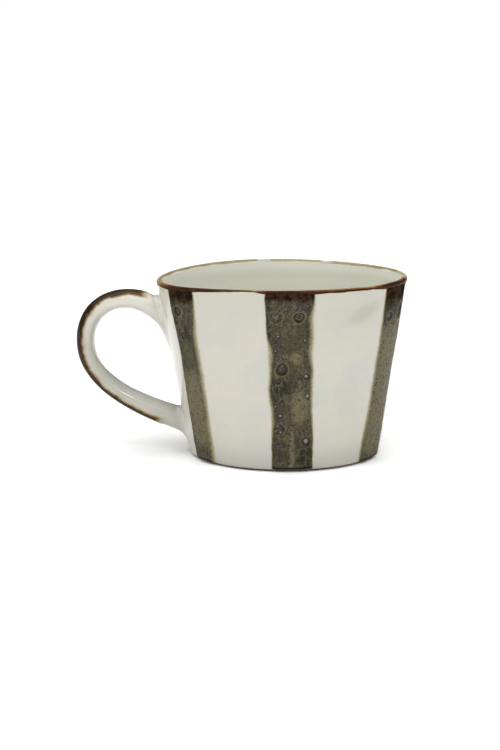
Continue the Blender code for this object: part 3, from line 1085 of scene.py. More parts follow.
@dataclass(frozen=True)
class AshGlaze:
    """Thick mottled ash glaze with specks, bubbles and blisters, thinned out to white at its edges."""

    under: WhiteGlaze = WhiteGlaze()
    body: Tint = (0.056, 0.046, 0.027)
    olive: Tint = (0.059, 0.052, 0.024)
    slate: Tint = (0.031, 0.031, 0.022)
    plum: Tint = (0.047, 0.035, 0.029)
    deep: Tint = (0.015, 0.015, 0.009)
    khaki: Tint = (0.142, 0.125, 0.067)
    amber: Tint = (0.100, 0.054, 0.018)
    straw: Tint = (0.140, 0.127, 0.080)
    fringe: Tint = (0.30, 0.27, 0.155)
    soot: Tint = (0.008, 0.006, 0.003)
    rust: Tint = (0.036, 0.018, 0.008)
    mist: Tint = (0.23, 0.22, 0.185)
    lilac: Tint = (0.245, 0.220, 0.235)
    bubble_size: float = 2.1

    def mottle(self, graph: Graph) -> Colour:
        """The clouds, streaks, worm-like lines and specks of the thick glaze.

        Args:
            graph: The material's graph.

        Returns:
            The colour.
        """
        place, runs = graph.place(), graph.place((1.0, 1.0, 0.4))
        tint = graph.mix(self.body, self.olive, graph.noise(runs, 3.6, 3.0, 0.5).step(0.44, 0.6))
        tint = tint.mixed(self.slate, graph.noise(runs, 2.7, 3.0, 0.5).step(0.54, 0.66) * 0.8)
        ragged = (graph.noise(place, 1.8, 3.0) - 0.5) * 0.9
        for tone in Tone:
            shade = getattr(self, tone.value)
            tint = tint.mixed(shade, (graph.field(tone.value) + ragged).step(0.2, 0.75) * 0.85)
        bent = graph.bent(graph.place((1.0, 1.0, 0.7)), 1.5, 1.5)
        net = graph.cells(bent, 1.6, "DISTANCE_TO_EDGE").step(0.15, 0.03)
        tint = tint.mixed(self.straw, net * graph.noise(place, 4.0, 2.0).step(0.42, 0.6) * 0.45)
        froth = graph.cells(graph.bent(place, 1.1, 0.7), 0.9).step(0.2, 0.08)
        tint = tint.mixed(self.straw, froth * graph.noise(place, 3.0, 2.0).step(0.45, 0.62) * 0.5)
        tint = tint.mixed(self.straw, graph.noise(runs, 0.9, 2.0, 0.6).step(0.56, 0.74) * 0.45)
        return tint.mixed(self.soot, graph.noise(place, 0.55, 2.0).step(0.54, 0.66) * 0.7)

    def bubbles(self, graph: Graph, tint: Colour) -> Colour:
        """Small bubbles frozen in the glaze: a dark ring with a pale middle.

        Args:
            graph: The material's graph.
            tint: The colour without them.

        Returns:
            The colour with them.
        """
        reach = graph.cells(graph.place(), self.bubble_size)
        ring = reach.step(0.24, 0.19) * reach.step(0.09, 0.14)
        tint = tint.mixed(self.soot, ring * 0.55)
        return tint.mixed(self.mist, reach.step(0.11, 0.05) * 0.4)

    def blisters(self, graph: Graph, tint: Colour) -> Colour:
        """Large burst bubbles, from the mesh's own fields: dark pits, pale rims, and pale cores that are
        partly painted glints.

        Args:
            graph: The material's graph.
            tint: The colour without them.

        Returns:
            The colour with them.
        """
        tint = tint.mixed(self.soot, graph.field("blister_dark"))
        tint = tint.mixed(self.straw, graph.field("blister_rim"))
        # The pale lilac cores are partly bubble middles and partly painted glints.
        return tint.mixed(self.lilac, graph.field("blister_core"))

    def make(self) -> bpy.types.Material:
        """Builds the material.

        Returns:
            The finished material.
        """
        graph = Graph.of_material("ash_glaze")
        place = graph.place()
        tint = self.bubbles(graph, self.mottle(graph))
        run = graph.field("run") + (graph.noise(place, 2.0, 3.0) - 0.5) * 0.9
        top = graph.mix(self.rust, self.soot, graph.noise(place, 2.6, 2.0).step(0.4, 0.6))
        dark = run.step(0.15, 0.6)
        tint = self.blisters(graph, tint.mixed(top, dark))
        foot = graph.field("foot")
        haze = foot.step(0.12, 0.3) * graph.noise(place, 2.4, 2.0).step(0.4, 0.65)
        tint = tint.mixed(self.mist, haze * 0.16)
        # Near-black at the stripe's foot: partly glaze gathered on the turn, partly painted contact shade.
        tint = tint.mixed(self.soot, foot.step(0.55, 0.85))
        edge = graph.field("edge") + (graph.noise(place, 0.8, 2.0) - 0.5) * 0.35
        halo = graph.mix(self.under.tint(graph), self.fringe, edge.step(0.0, 0.55))
        tint = halo.mixed(tint, edge.step(0.25, 1.1))
        rough = graph.noise(place, 0.9, 2.0) * 0.22 + 0.14
        pits = graph.cells(place, self.bubble_size).step(0.05, 0.3)
        relief = graph.noise(place, 0.6, 2.0) * 0.5 + pits * 0.6
        return graph.dress(
            base_color=tint,
            specular_ior_level=0.0,
            coat_weight=0.22 - dark * 0.2,
            coat_roughness=0.12,
            roughness=rough,
            normal=graph.bump(relief, 0.06),
        )


@dataclass(frozen=True)
class IronGlaze:
    """Iron glaze: near black where it is thick, then red-brown to straw, thinned out to white."""

    name: str = "iron_glaze"
    under: WhiteGlaze = WhiteGlaze()
    thick: Tint = (0.009, 0.004, 0.002)
    brown: Tint = (0.032, 0.012, 0.005)
    rust: Tint = (0.095, 0.036, 0.011)
    amber: Tint = (0.230, 0.105, 0.034)
    olive: Tint = (0.240, 0.195, 0.095)
    straw: Tint = (0.340, 0.285, 0.165)
    places: tuple[float, ...] = (0.0, 0.22, 0.38, 0.50, 0.62, 0.74)

    def make(self) -> bpy.types.Material:
        """Builds the material.

        Returns:
            The finished material.
        """
        graph = Graph.of_material(self.name)
        place = graph.place()
        patches = (graph.noise(place, 1.7, 3.0, 0.5) - 0.5) * 0.26
        thin = graph.field("thin") + patches
        shades = self.thick, self.brown, self.rust, self.amber, self.olive, self.straw
        stops = tuple(zip(self.places, shades))
        tint = graph.ramp(thin, stops).mixed(self.under.tint(graph), thin.step(0.72, 1.02))
        rough = graph.noise(place, 1.2, 2.0) * 0.08 + 0.04
        return graph.dress(
            base_color=tint,
            roughness=rough,
            specular_ior_level=0.0,
            coat_weight=0.25,
            coat_roughness=0.04,
            normal=graph.bump(graph.noise(place, 0.9, 2.0), 0.03),
        )


# The handle's white: a darker copy, painted shade, whose crest is a painted highlight near the top.
STRAP_SHADED_WHITE = WhiteGlaze(
    "strap_white_glaze",
    cream=(0.455, 0.443, 0.385),
    cool=(0.405, 0.415, 0.365),
    warm=(0.480, 0.450, 0.400),
    crest=(0.640, 0.620, 0.545),
)


STRAP_IRON = IronGlaze(
    "strap_iron_glaze",
    STRAP_SHADED_WHITE,
    brown=(0.040, 0.024, 0.010),
    rust=(0.085, 0.048, 0.019),
    amber=(0.165, 0.105, 0.046),
)


@dataclass(frozen=True)
class Finishes:
    """The mug's finishes, made once each; the strap's differ a little, its white darker as painted shade.
    """

    white: bpy.types.Material = field(default_factory=lambda: WhiteGlaze().make())
    strap_white: bpy.types.Material = field(default_factory=lambda: STRAP_SHADED_WHITE.make())
    clay: bpy.types.Material = field(default_factory=lambda: BareClay().make())
    ash: bpy.types.Material = field(default_factory=lambda: AshGlaze().make())
    iron: bpy.types.Material = field(default_factory=lambda: IronGlaze().make())
    strap_iron: bpy.types.Material = field(default_factory=lambda: STRAP_IRON.make())


# Sub-assemblies


@dataclass(frozen=True)
class CupBody:
    """The thrown wall and floor."""

    form: CupForm
    segments: int = 360

    def outline(self) -> np.ndarray:
        """The whole outline, from the middle of the underside round to the middle of the floor."""
        form = self.form
        groove = (form.skirt_inner_radius, form.foot_height)
        middle = (form.step, form.foot_height)
        turn = form.corner(-math.pi / 2)
        skirt = (form.skirt_inner_radius, form.corner_lift)
        lip = form.lip()
        return np.concatenate(
            [
                [middle],
                straight(middle, groove, FLAT_STEP),
                [groove],
                straight(groove, skirt, form.step),
                [skirt],
                turn,
                straight(turn[-1], lip[0], form.step),
                lip,
                form.inside(),
            ]
        )

    def build(self, finishes: Finishes) -> None:
        """Makes the piece.

        Args:
            finishes: The mug's finishes.
        """
        wall = Wall(self.form, self.outline())
        angle = np.linspace(-math.pi, math.pi, self.segments, endpoint=False)[None, :]
        rows = wall.place(angle, wall.line.travel[:, None])
        radius, z, _, _ = wall.line.at(wall.line.travel[:, None])
        inward = smoothstep(-1.2, -2.0, radius - self.form.wall_radius(z)) * smoothstep(3.0, 5.0, z)
        dented = self.form.dent_share(angle, radius, z)
        shape = Shape.turned(rows, Ends.FANS, inside=inward + 0 * angle, dented=dented)
        shape.piece("cup_body_glazed", finishes.white, "cup_body", "white_glaze")


@dataclass(frozen=True)
class FootRing:
    """The trimmed ring of bare clay that the mug stands on."""

    form: CupForm
    width: float = 4.2
    clearance: float = 0.3
    chamfer: float = 0.5
    segments: int = 300
    drag: float = 0.03

    def build(self, finishes: Finishes) -> None:
        """Makes the piece.

        Args:
            finishes: The mug's finishes.
        """
        outer = self.form.skirt_inner_radius - self.clearance
        inner = outer - self.width
        top = self.form.foot_height
        corners = [
            (inner + self.chamfer, 0.0),
            (outer - self.chamfer, 0.0),
            (outer, self.chamfer),
            (outer, top),
            (inner, top),
            (inner, self.chamfer),
        ]
        sides = zip(corners, corners[1:] + corners[:1])
        line = np.concatenate([np.concatenate([[a], straight(a, b, 0.3)]) for a, b in sides])
        angle = np.linspace(0, math.tau, self.segments, endpoint=False)[None, :]
        radius, z = line[:, 0:1], line[:, 1:2]
        rows = self.form.waver(angle, radius + 0 * angle, z + 0 * angle)
        inward = smoothstep(0.0, 0.4, z) * np.sign(radius - (outer + inner) / 2)
        drag = uneven(rows * np.array([1.0, 1.0, 6.0]), (Seed.FOOT_DRAG, 2.5, self.drag))
        rows[..., :2] += (rows[..., :2] - [self.form.axis_x, 0]) / outer * (inward * drag)[..., None]
        Shape.turned(rows, Ends.JOINED).piece("foot_ring_trimmed", finishes.clay, "foot_ring", "bare_clay")


@dataclass(frozen=True)
class Blister:
    """A large burst bubble in a stripe: its place and radius, and how strongly it is marked.

    Pale and rim are how light its core and its rim are, core is the core's share of its radius, and dark
    is how dark its pit is. Its light core, moved a little up and to the left, is partly a painted glint.
    """

    across: float
    height: float
    radius: float
    pale: float = 0.5
    rim: float = 0.25
    core: float = 0.5
    dark: float = 0.75

    def far(self, across: np.ndarray, height: np.ndarray, shift: float = 0.0) -> np.ndarray:
        """How far places are from its middle, in its own slightly uneven radii.

        Args:
            across: How far each place is across the stripe.
            height: The height of each place.
            shift: How far the middle is moved up and to the left, in radii.

        Returns:
            The distances.
        """
        x = across - self.across + shift * self.radius
        y = height - self.height - shift * self.radius
        turn = np.arctan2(y, x)
        ragged = 1 + 0.08 * np.cos(2 * turn + 7 * self.across) + 0.05 * np.cos(3 * turn + 5 * self.height)
        return np.hypot(x, y) / self.radius * ragged

    def marks(self, across: np.ndarray, height: np.ndarray) -> dict[str, np.ndarray]:
        """Its dark pit, pale rim and pale core, the core partly a painted glint.

        Args:
            across: How far each place is across the stripe.
            height: The height of each place.

        Returns:
            The strength of each mark, by the name of its field.
        """
        far, from_core = self.far(across, height), self.far(across, height, 0.14)
        ring = smoothstep(1.15, 0.95, far) * (1 - 0.5 * smoothstep(0.75, 0.5, far))
        return {
            "blister_dark": self.dark * ring,
            "blister_rim": self.rim * 0.6 * np.exp(-(((far - 1.28) / 0.15) ** 2)),
            "blister_core": self.pale * smoothstep(self.core + 0.25, self.core - 0.4, from_core),
        }


@dataclass(frozen=True)
class Patch:
    """A place in a stripe where one tone gathers."""

    tone: Tone
    across: float
    height: float
    half_width: float
    half_height: float

    def share(self, across: np.ndarray, height: np.ndarray) -> np.ndarray:
        """How much of the tone there is at each place.

        Args:
            across: How far each place is across the stripe.
            height: The height of each place.

        Returns:
            The share at each place.
        """
        aside, up = (across - self.across) / self.half_width, (height - self.height) / self.half_height
        return np.exp(-0.7 * (aside**2 + up**2))


@dataclass(frozen=True)
class EdgeAt:
    """A stripe's two edges at one height, in degrees from its middle, and how wide each fades out."""

    height: float
    left: float
    right: float
    left_fade: float
    right_fade: float


GUESSED_EDGES = (
    EdgeAt(0, -11.9, 12.1, 0.9, 1.2),
    EdgeAt(20, -11.4, 11.6, 1.3, 1.0),
    EdgeAt(42, -11.9, 11.0, 1.0, 1.6),
    EdgeAt(56, -11.6, 11.3, 0.5, 0.8),
    EdgeAt(65, -11.8, 11.2, 0.4, 0.4),
)


@dataclass(frozen=True)
class Stripe:
    """One brushed stripe of thick ash glaze.

    Middle is the angle of its middle, run is how far the dark run reaches down from the rim, cell is the
    size of its mesh's faces, width is about how wide it is, as an angle, and start is the angle on the turn
    at its foot where it begins. Fade_reach stretches the fades of its edges.
    """

    form: CupForm
    number: int
    middle: float
    run: float
    edges: tuple[EdgeAt, ...] = GUESSED_EDGES
    blisters: tuple[Blister, ...] = ()
    patches: tuple[Patch, ...] = ()
    thickness: float = 0.5
    scattered_blisters: int = 22
    blister_across: Span = (-7.5, 7.5)
    blister_heights: Span = (5, 58)
    blister_radii: Span = (0.28, 0.6)
    blister_paleness: Span = (0.0, 0.5)
    scattered_patches: int = 10
    patch_across: Span = (-7, 7)
    patch_heights: Span = (3, 58)
    patch_half_widths: Span = (1.2, 3.0)
    patch_half_heights: Span = (2.5, 9.0)
    cell: float = 0.2
    width: float = 0.42
    fade_reach: float = 1.5
    start: float = math.radians(-50)

    def look_up(self, name: str, height: np.ndarray) -> np.ndarray:
        """One of the edges' columns at each height."""
        return np.interp(height, [e.height for e in self.edges], [getattr(e, name) for e in self.edges])

    def edge_angles(self, height: np.ndarray) -> list[np.ndarray]:
        """Where the stripe's two edges lie, with the brush's slight wobble.

        Args:
            height: Heights on the wall.

        Returns:
            The left edge's and the right edge's angle at each height.
        """
        seed = Seed.STRIPE_EDGE + self.number
        found = []
        for shift, name in ((0.0, "left"), (57.0, "right")):
            spots = spread(height + shift, 0, 0)
            wobble = uneven(spots, (seed, 7.0, 0.22), (seed, 2.2, 0.12))
            angle = self.middle + np.radians(self.look_up(name, height))
            found.append(angle + wobble / self.form.rim_radius)
        return found

    def all_blisters(self) -> list[Blister]:
        """Finds the stripe's blisters, the largest first.

        Returns:
            The placed blisters and the scattered small ones.
        """
        rng = np.random.default_rng(Seed.SMALL_BLISTERS + self.number)
        found = list(self.blisters)
        spans = self.blister_across, self.blister_heights, self.blister_radii, self.blister_paleness
        for _ in range(self.scattered_blisters):
            found.append(Blister(*(rng.uniform(*span) for span in spans)))
        return sorted(found, key=lambda b: -b.radius)

    def all_patches(self) -> list[Patch]:
        """Finds the stripe's patches.

        Returns:
            The placed patches, or some scattered ones where none are placed.
        """
        if self.patches:
            return list(self.patches)
        rng = np.random.default_rng(Seed.PATCHES + self.number)
        spans = self.patch_across, self.patch_heights, self.patch_half_widths, self.patch_half_heights
        tones = itertools.cycle((Tone.PLUM, Tone.KHAKI, Tone.DEEP))
        return [
            Patch(tone, *(rng.uniform(*span) for span in spans))
            for tone, _ in zip(tones, range(self.scattered_patches))
        ]

    def wall(self) -> Wall:
        """Finds the skin under the stripe.

        Returns:
            The stretch of the cup's wall from the turn at its foot to the lip.
        """
        turn, lip = self.form.corner(self.start), self.form.lip()
        upright = straight(turn[-1], lip[0], self.form.step)
        return Wall(self.form, np.concatenate([turn, upright, lip[: len(lip) // 6]]))

    def blistered(
        self, lift: np.ndarray, body: np.ndarray, across: np.ndarray, height: np.ndarray
    ) -> tuple[np.ndarray, dict[str, np.ndarray]]:
        """Raises the blisters' rims and sinks their pits.

        Args:
            lift: The glaze's thickness without them.
            body: The share of its full thickness that the glaze has at each place.
            across: How far each place is across the stripe.
            height: The height of each place.

        Returns:
            The thickness with them, and the fields that mark them.
        """
        marks = {name: np.zeros(height.shape) for name in ("blister_dark", "blister_rim", "blister_core")}
        for blister in self.all_blisters():
            far = blister.far(across, height)
            rise = 0.10 * blister.radius * np.exp(-(((far - 1.2) / 0.3) ** 2))
            sink = 0.12 * blister.radius * smoothstep(1.1, 0.3, far)
            lift = lift + (rise - sink) * body
            cover = smoothstep(1.5, 1.2, far)
            for name, mark in blister.marks(across, height).items():
                marks[name] = marks[name] * (1 - cover) + mark
        return np.clip(lift, LEAST_LIFT, self.thickness), marks

    def tones(self, across: np.ndarray, height: np.ndarray) -> dict[str, np.ndarray]:
        """Finds where each tone gathers.

        Args:
            across: How far each place is across the stripe.
            height: The height of each place.

        Returns:
            The share of each tone at each place, by the name of its field.
        """
        found = {tone.value: 0 * height for tone in Tone}
        for patch in self.all_patches():
            name = patch.tone.value
            found[name] = np.maximum(found[name], patch.share(across, height))
        return found

    def build(self, finishes: Finishes) -> None:
        """Makes the piece.

        Args:
            finishes: The mug's finishes.
        """
        wall = self.wall()
        length = wall.line.length
        rows, columns = int(length / self.cell), int(self.width * self.form.rim_radius / self.cell)
        travel = np.linspace(0, length, rows)[:, None] + np.zeros((1, columns))
        radius, z, _, _ = wall.line.at(travel)
        left, right = self.edge_angles(z[:, :1])
        share = np.linspace(0, 1, columns)[None, :]
        share = 0.8 * share + 0.1 - 0.1 * np.cos(share * math.pi)  # finer towards both edges
        angle = left + (right - left) * share
        from_left, from_right = (angle - left) * radius, (right - angle) * radius
        faded = from_left / self.look_up("left_fade", z), from_right / self.look_up("right_fade", z)
        nearest = np.minimum(from_left, from_right)
        body = smoothstep(0.0, 1.8, nearest) * 0.7 + smoothstep(0.0, 3.4, nearest) * 0.3
        swell = uneven(spread(angle * radius, z * 0.5, 0 * z), (Seed.STRIPE_SWELL + self.number, 4.0, 0.16))
        below_rim = smoothstep(length - 0.5, length - 4.0, travel)
        lift = self.thickness * body * (0.8 + swell) * (0.35 + 0.65 * below_rim)
        across = (angle - self.middle) * radius
        lift, marks = self.blistered(lift * smoothstep(-0.4, 0.8, travel), body, across, z)
        fields = {
            "edge": np.minimum(*faded) / self.fade_reach,
            "run": 1 - (length - travel) / self.run,
            # foot marks the turn at the stripe's foot, which its finish darkens, partly as painted contact
            # shade.
            "foot": smoothstep(2.3, 0.4, travel),
            **marks,
            **self.tones(across, z),
        }
        front, back = wall.place(angle, travel, lift), wall.place(angle, travel, -GLAZE_SUNK)
        shape = Shape.skin(front, back, wrap=False, **fields)
        node = f"stripe_glaze_{self.number}"
        shape.piece(f"ash_stripe_{self.number}", finishes.ash, node, "ash_glaze")


@dataclass(frozen=True)
class RimAt:
    """The iron at one angle of the lip: how far its lower edge hangs, and how thin it is.

    Thin counts outside and top on the lip's top. Each is 0 where the iron is thickest, and white shows
    through at 1.
    """

    degrees: float
    hang: float
    thin: float
    top: float


@dataclass(frozen=True)
class RimBand:
    """The iron glaze that runs round the lip."""

    form: CupForm
    lift: float = 0.24
    below: float = 3.0
    segments: int = 900
    rows: int = 34
    places: tuple[RimAt, ...] = (
        RimAt(-172, 0.3, 0.60, 0.63),
        RimAt(-164, 0.2, 0.46, 0.58),
        RimAt(-155, 0.5, 0.24, 0.46),
        RimAt(-136, 0.2, 0.12, 0.36),
        RimAt(-124, -0.2, 0.18, 0.42),
        RimAt(-110, -0.5, 0.22, 0.60),
        RimAt(-104, -0.4, 0.56, 0.80),
        RimAt(-98, 0.2, 0.16, 0.86),
        RimAt(-86, 0.4, 0.14, 0.88),
        RimAt(-78, 0.3, 0.22, 0.62),
        RimAt(-70, 0.0, 0.36, 0.56),
        RimAt(-58, -0.1, 0.30, 0.62),
        RimAt(-48, -0.2, 0.48, 0.76),
        RimAt(-42, 0.2, 0.26, 0.66),
        RimAt(-34, 0.7, 0.12, 0.44),
        RimAt(-18, 0.6, 0.20, 0.46),
        RimAt(-10, 0.3, 0.62, 0.78),
        RimAt(9, 0.2, 0.70, 0.76),
        RimAt(15, 0.2, 0.50, 0.60),
        RimAt(40, 0.4, 0.38, 0.66),
        RimAt(64, 0.2, 0.46, 0.70),
        # At 68 degrees the white on top is a painted glint on the back of the lip.
        RimAt(68, 0.3, 0.50, 1.15),
        RimAt(72, 0.3, 0.50, 0.72),
        RimAt(97, 0.2, 0.50, 0.74),
        # From 99 to 103 degrees the white on top is a painted glint on the back of the lip.
        RimAt(99, 0.2, 0.50, 1.20),
        RimAt(103, 0.2, 0.50, 1.20),
        RimAt(105, 0.1, 0.44, 0.66),
        RimAt(120, 0.1, 0.42, 0.66),
        RimAt(150, 0.4, 0.34, 0.63),
    )

    def look_up(self, name: str, angle: np.ndarray) -> np.ndarray:
        """One of the places' columns at each angle."""
        degrees, values = zip(*((place.degrees, getattr(place, name)) for place in self.places))
        return np.interp(np.degrees(angle), degrees, values, period=360)

    def thinness(
        self, angle: np.ndarray, from_first: np.ndarray, from_last: np.ndarray, turned: np.ndarray
    ) -> np.ndarray:
        """Finds how thin the iron is.

        Args:
            angle: Angles round the cup.
            from_first: How far each place is from the iron's lower edge.
            from_last: How far it is from the iron's inner edge.
            turned: How far round the lip it is, in radians from level.

        Returns:
            0 where it is thickest, and 1 or more where white shows through.
        """
        on_top = smoothstep(0.6, 1.35, turned)
        thin = self.look_up("thin", angle) * (1 - on_top) + self.look_up("top", angle) * on_top
        pooled = smoothstep(0.0, 0.35, from_first) * smoothstep(1.0, 0.5, from_first)
        thin = thin - 0.22 * pooled * smoothstep(0.2, 0.4, thin)
        return thin + 0.9 * smoothstep(0.34, 0.0, from_first) + 0.5 * smoothstep(0.4, 0.0, from_last)

    def build(self, finishes: Finishes) -> None:
        """Makes the piece.

        Args:
            finishes: The mug's finishes.
        """
        form = self.form
        lip = form.lip()
        low = lip[0] - np.array([math.sin(form.lean), math.cos(form.lean)]) * self.below
        wall = Wall(form, np.concatenate([[low], straight(low, lip[0], 0.3), lip]))
        angle = np.linspace(-math.pi, math.pi, self.segments, endpoint=False)[None, :]
        around = spread(np.cos(angle), np.sin(angle), 0) * form.rim_radius
        droop = uneven(around, (Seed.RIM_DROOP, 7.0, 0.22), (Seed.RIM_DROOP_FINE, 2.2, 0.08))
        first = self.below - self.look_up("hang", angle) - droop
        over = form.lip_radius * np.radians(150 + 22 * np.sin(angle))
        last = self.below + over + uneven(around, (Seed.RIM_INNER_EDGE, 6.0, 0.2))
        share = np.linspace(0, 1, self.rows)[:, None]
        travel = first + (last - first) * share
        from_first, from_last = travel - first, last - travel
        lift = self.lift * smoothstep(-0.1, 1.5, np.minimum(from_first, from_last))
        turned = (travel - self.below) / form.lip_radius - form.lean
        thin = self.thinness(angle, from_first, from_last, turned)
        front = wall.place(angle + 0 * share, travel, np.maximum(lift, LEAST_LIFT))
        back = wall.place(angle + 0 * share, travel, -GLAZE_SUNK)
        shape = Shape.skin(front, back, wrap=True, thin=thin)
        shape.piece("iron_rim", finishes.iron, "rim_iron_band", "iron_glaze")


@dataclass(frozen=True)
class StreakAt:
    """How far round the strap the iron streak reaches at one share of its length, in degrees each way."""

    share: float
    half_angle: float


@dataclass(frozen=True)
class Handle:
    """The strap, the joining clay at its roots, and the iron streak on its back.

    Sunk, bend_rise, tip_sunk and toe_sunk are depths and heights measured from the skin.
    """

    strap: StrapForm
    sides: int = 120
    stations: int = 240
    sunk: float = 0.9
    bend_rise: float = 0.42
    streak: tuple[float, float] = (0.115, 0.945)
    streak_lift: float = 0.34
    streak_cells: tuple[int, int] = (360, 90)
    streak_places: tuple[StreakAt, ...] = (
        StreakAt(0.1, 66),
        StreakAt(0.3, 82),
        StreakAt(0.5, 100),
        StreakAt(0.72, 95),
        StreakAt(0.93, 84),
    )
    tip_sunk: float = 0.12
    toe_sunk: float = 0.16
    fillet_rows: int = 24

    def build_strap(self, finishes: Finishes) -> None:
        """Makes the strap, whose ends are sunk in the wall.

        Args:
            finishes: The mug's finishes.
        """
        side = np.linspace(0, math.tau, self.sides, endpoint=False)
        first = self.strap.root_share(side, UPPER_ROOT, -self.sunk)
        last = self.strap.root_share(side, LOWER_ROOT, -self.sunk)
        share = first + (last - first) * np.linspace(0, 1, self.stations)[:, None]
        rows = self.strap.place(share, side[None, :], self.relief(share, side[None, :]))
        Shape.turned(rows, Ends.FANS).piece("strap_handle", finishes.strap_white, "handle", "white_glaze")

    def relief(self, share: np.ndarray, side: np.ndarray) -> np.ndarray:
        """The strap's slight unevenness, from the wet hand that pulled it, and its fuller bend.

        Args:
            share: Places along the strap.
            side: Angles round its section.

        Returns:
            The rise at each place.
        """
        spot = spread(share * self.strap.length, np.cos(side) * 6, np.sin(side) * 6)
        at_bend = np.exp(-(((share - 0.40) / 0.16) ** 2)) * np.maximum(-np.cos(side), 0.0)
        hand = uneven(spot, (Seed.STRAP, 14.0, 0.14), (Seed.STRAP_FINE, 5.0, 0.04))
        return hand + self.bend_rise * at_bend

    def build_streak(self, finishes: Finishes) -> None:
        """Makes the iron streak.

        Args:
            finishes: The mug's finishes.
        """
        rows, columns = self.streak_cells
        start, end = self.streak
        across = np.linspace(-1, 1, columns)[None, :]
        share = start + (end - start) * np.linspace(0, 1, rows)[:, None]
        spot = spread(share * self.strap.length, np.sign(across) * 20, 0)
        wobble = uneven(spot, (Seed.STREAK_EDGE, 9.0, 0.07), (Seed.STREAK_EDGE_FINE, 3.0, 0.04))
        shares, angles = zip(*((place.share, place.half_angle) for place in self.streak_places))
        half_angle = np.radians(np.interp(share, shares, angles))
        side = across * half_angle * (1 + wobble)
        from_side = (1 - np.abs(across)) * half_angle * 5.0
        from_end = np.minimum(share - start, end - share) * self.strap.length
        from_edge = np.minimum(from_side, from_end)
        lift = np.maximum(self.streak_lift * smoothstep(-0.1, 2.2, from_edge), LEAST_LIFT)
        fray = uneven(spot, (Seed.STREAK_FRAY, 2.4, 0.5))
        from_side = from_side + fray * smoothstep(0.2, 0.8, from_side)
        thin = np.maximum(smoothstep(2.9, 0.2, from_side), 0.95 * smoothstep(7.0, 0.0, from_end))
        thin = 0.12 + thin * 0.88 + uneven(spot, (Seed.STREAK_CLOUDS, 7.0, 0.12))
        base = self.relief(share, side)
        front = self.strap.place(share, side, base + lift)
        back = self.strap.place(share, side, base - GLAZE_SUNK)
        shape = Shape.skin(front, back, wrap=False, thin=thin)
        shape.piece("iron_streak", finishes.strap_iron, "handle_iron_streak", "iron_glaze")

    def slip_tip(self, share: np.ndarray, side: np.ndarray, reach: np.ndarray, root: Root) -> np.ndarray:
        """Finds where the joining clay thins out on the strap.

        Args:
            share: Where the strap meets the wall on each side.
            side: Angles round the strap's section.
            reach: How far the clay spreads on each side.
            root: Which end of the strap.

        Returns:
            The points of its edge.
        """
        foot = self.strap.place(share, side)
        step, most = 0.001, 200
        for _ in range(most):
            short = np.linalg.norm(self.strap.place(share, side) - foot, axis=-1) < reach
            share = np.where(short, share + root.way * step, share)
        return self.strap.place(share, side, self.relief(share, side) - self.tip_sunk)

    def slip_toe(self, foot: np.ndarray, reach: np.ndarray, middle_height: float) -> np.ndarray:
        """Finds where the joining clay thins out on the wall.

        Args:
            foot: The points where the strap meets the wall.
            reach: How far the clay spreads from each of them.
            middle_height: The height of the middle of the root.

        Returns:
            The points of its edge.
        """
        cup = self.strap.cup
        x, y, height = foot[:, 0] - cup.axis_x, foot[:, 1], foot[:, 2]
        angle, radius = np.arctan2(y, x) % math.tau, np.hypot(x, y)
        away = np.stack([(angle - math.pi) * radius, height - middle_height], axis=1)
        away *= (reach / np.linalg.norm(away, axis=1))[:, None]
        angle, height = angle + away[:, 0] / radius, height + away[:, 1]
        radius = self.strap.wall_reach(angle, height) - self.toe_sunk
        return np.stack([cup.axis_x + radius * np.cos(angle), radius * np.sin(angle), height], axis=1)

    def build_slip(self, root: Root, name: str, node: str, finishes: Finishes) -> None:
        """Makes the joining clay round one root.

        Args:
            root: Which end of the strap.
            name: The piece's name.
            node: The CAD node that it stands for.
            finishes: The mug's finishes.
        """
        side = np.linspace(0, math.tau, self.sides, endpoint=False)
        vertical = np.cos(side) * root.way
        limit = np.where(vertical > 0, root.above, root.below)
        reach = root.beside + (limit - root.beside) * vertical**2
        share = self.strap.root_share(side, root, 0.0)
        foot = self.strap.place(share, side)
        middle = self.strap.middle(np.array([share.mean()]))[0]
        tip, toe = self.slip_tip(share, side, reach, root), self.slip_toe(foot, reach, middle[1])
        part = np.linspace(0, 1, self.fillet_rows)[:, None, None]
        fillet = tip * (1 - part) ** 2 + foot * 2 * (1 - part) * part + toe * part**2
        inner = foot + (foot - (tip + toe) / 2) * 0.25
        rows = np.concatenate([fillet, inner[None]])
        on_wall = np.append(smoothstep(0.2, 0.95, part[:, 0, 0]), 1.0)[:, None] + 0 * side
        Shape.turned(rows, Ends.JOINED, toe=on_wall).piece(name, finishes.strap_white, node, "white_glaze")

    def build(self, finishes: Finishes) -> None:
        """Makes the handle's four pieces.

        Args:
            finishes: The mug's finishes.
        """
        self.build_strap(finishes)
        self.build_streak(finishes)
        self.build_slip(UPPER_ROOT, "upper_joining_clay", "upper_slip_joint", finishes)
        self.build_slip(LOWER_ROOT, "lower_joining_clay", "lower_slip_joint", finishes)


# Studio


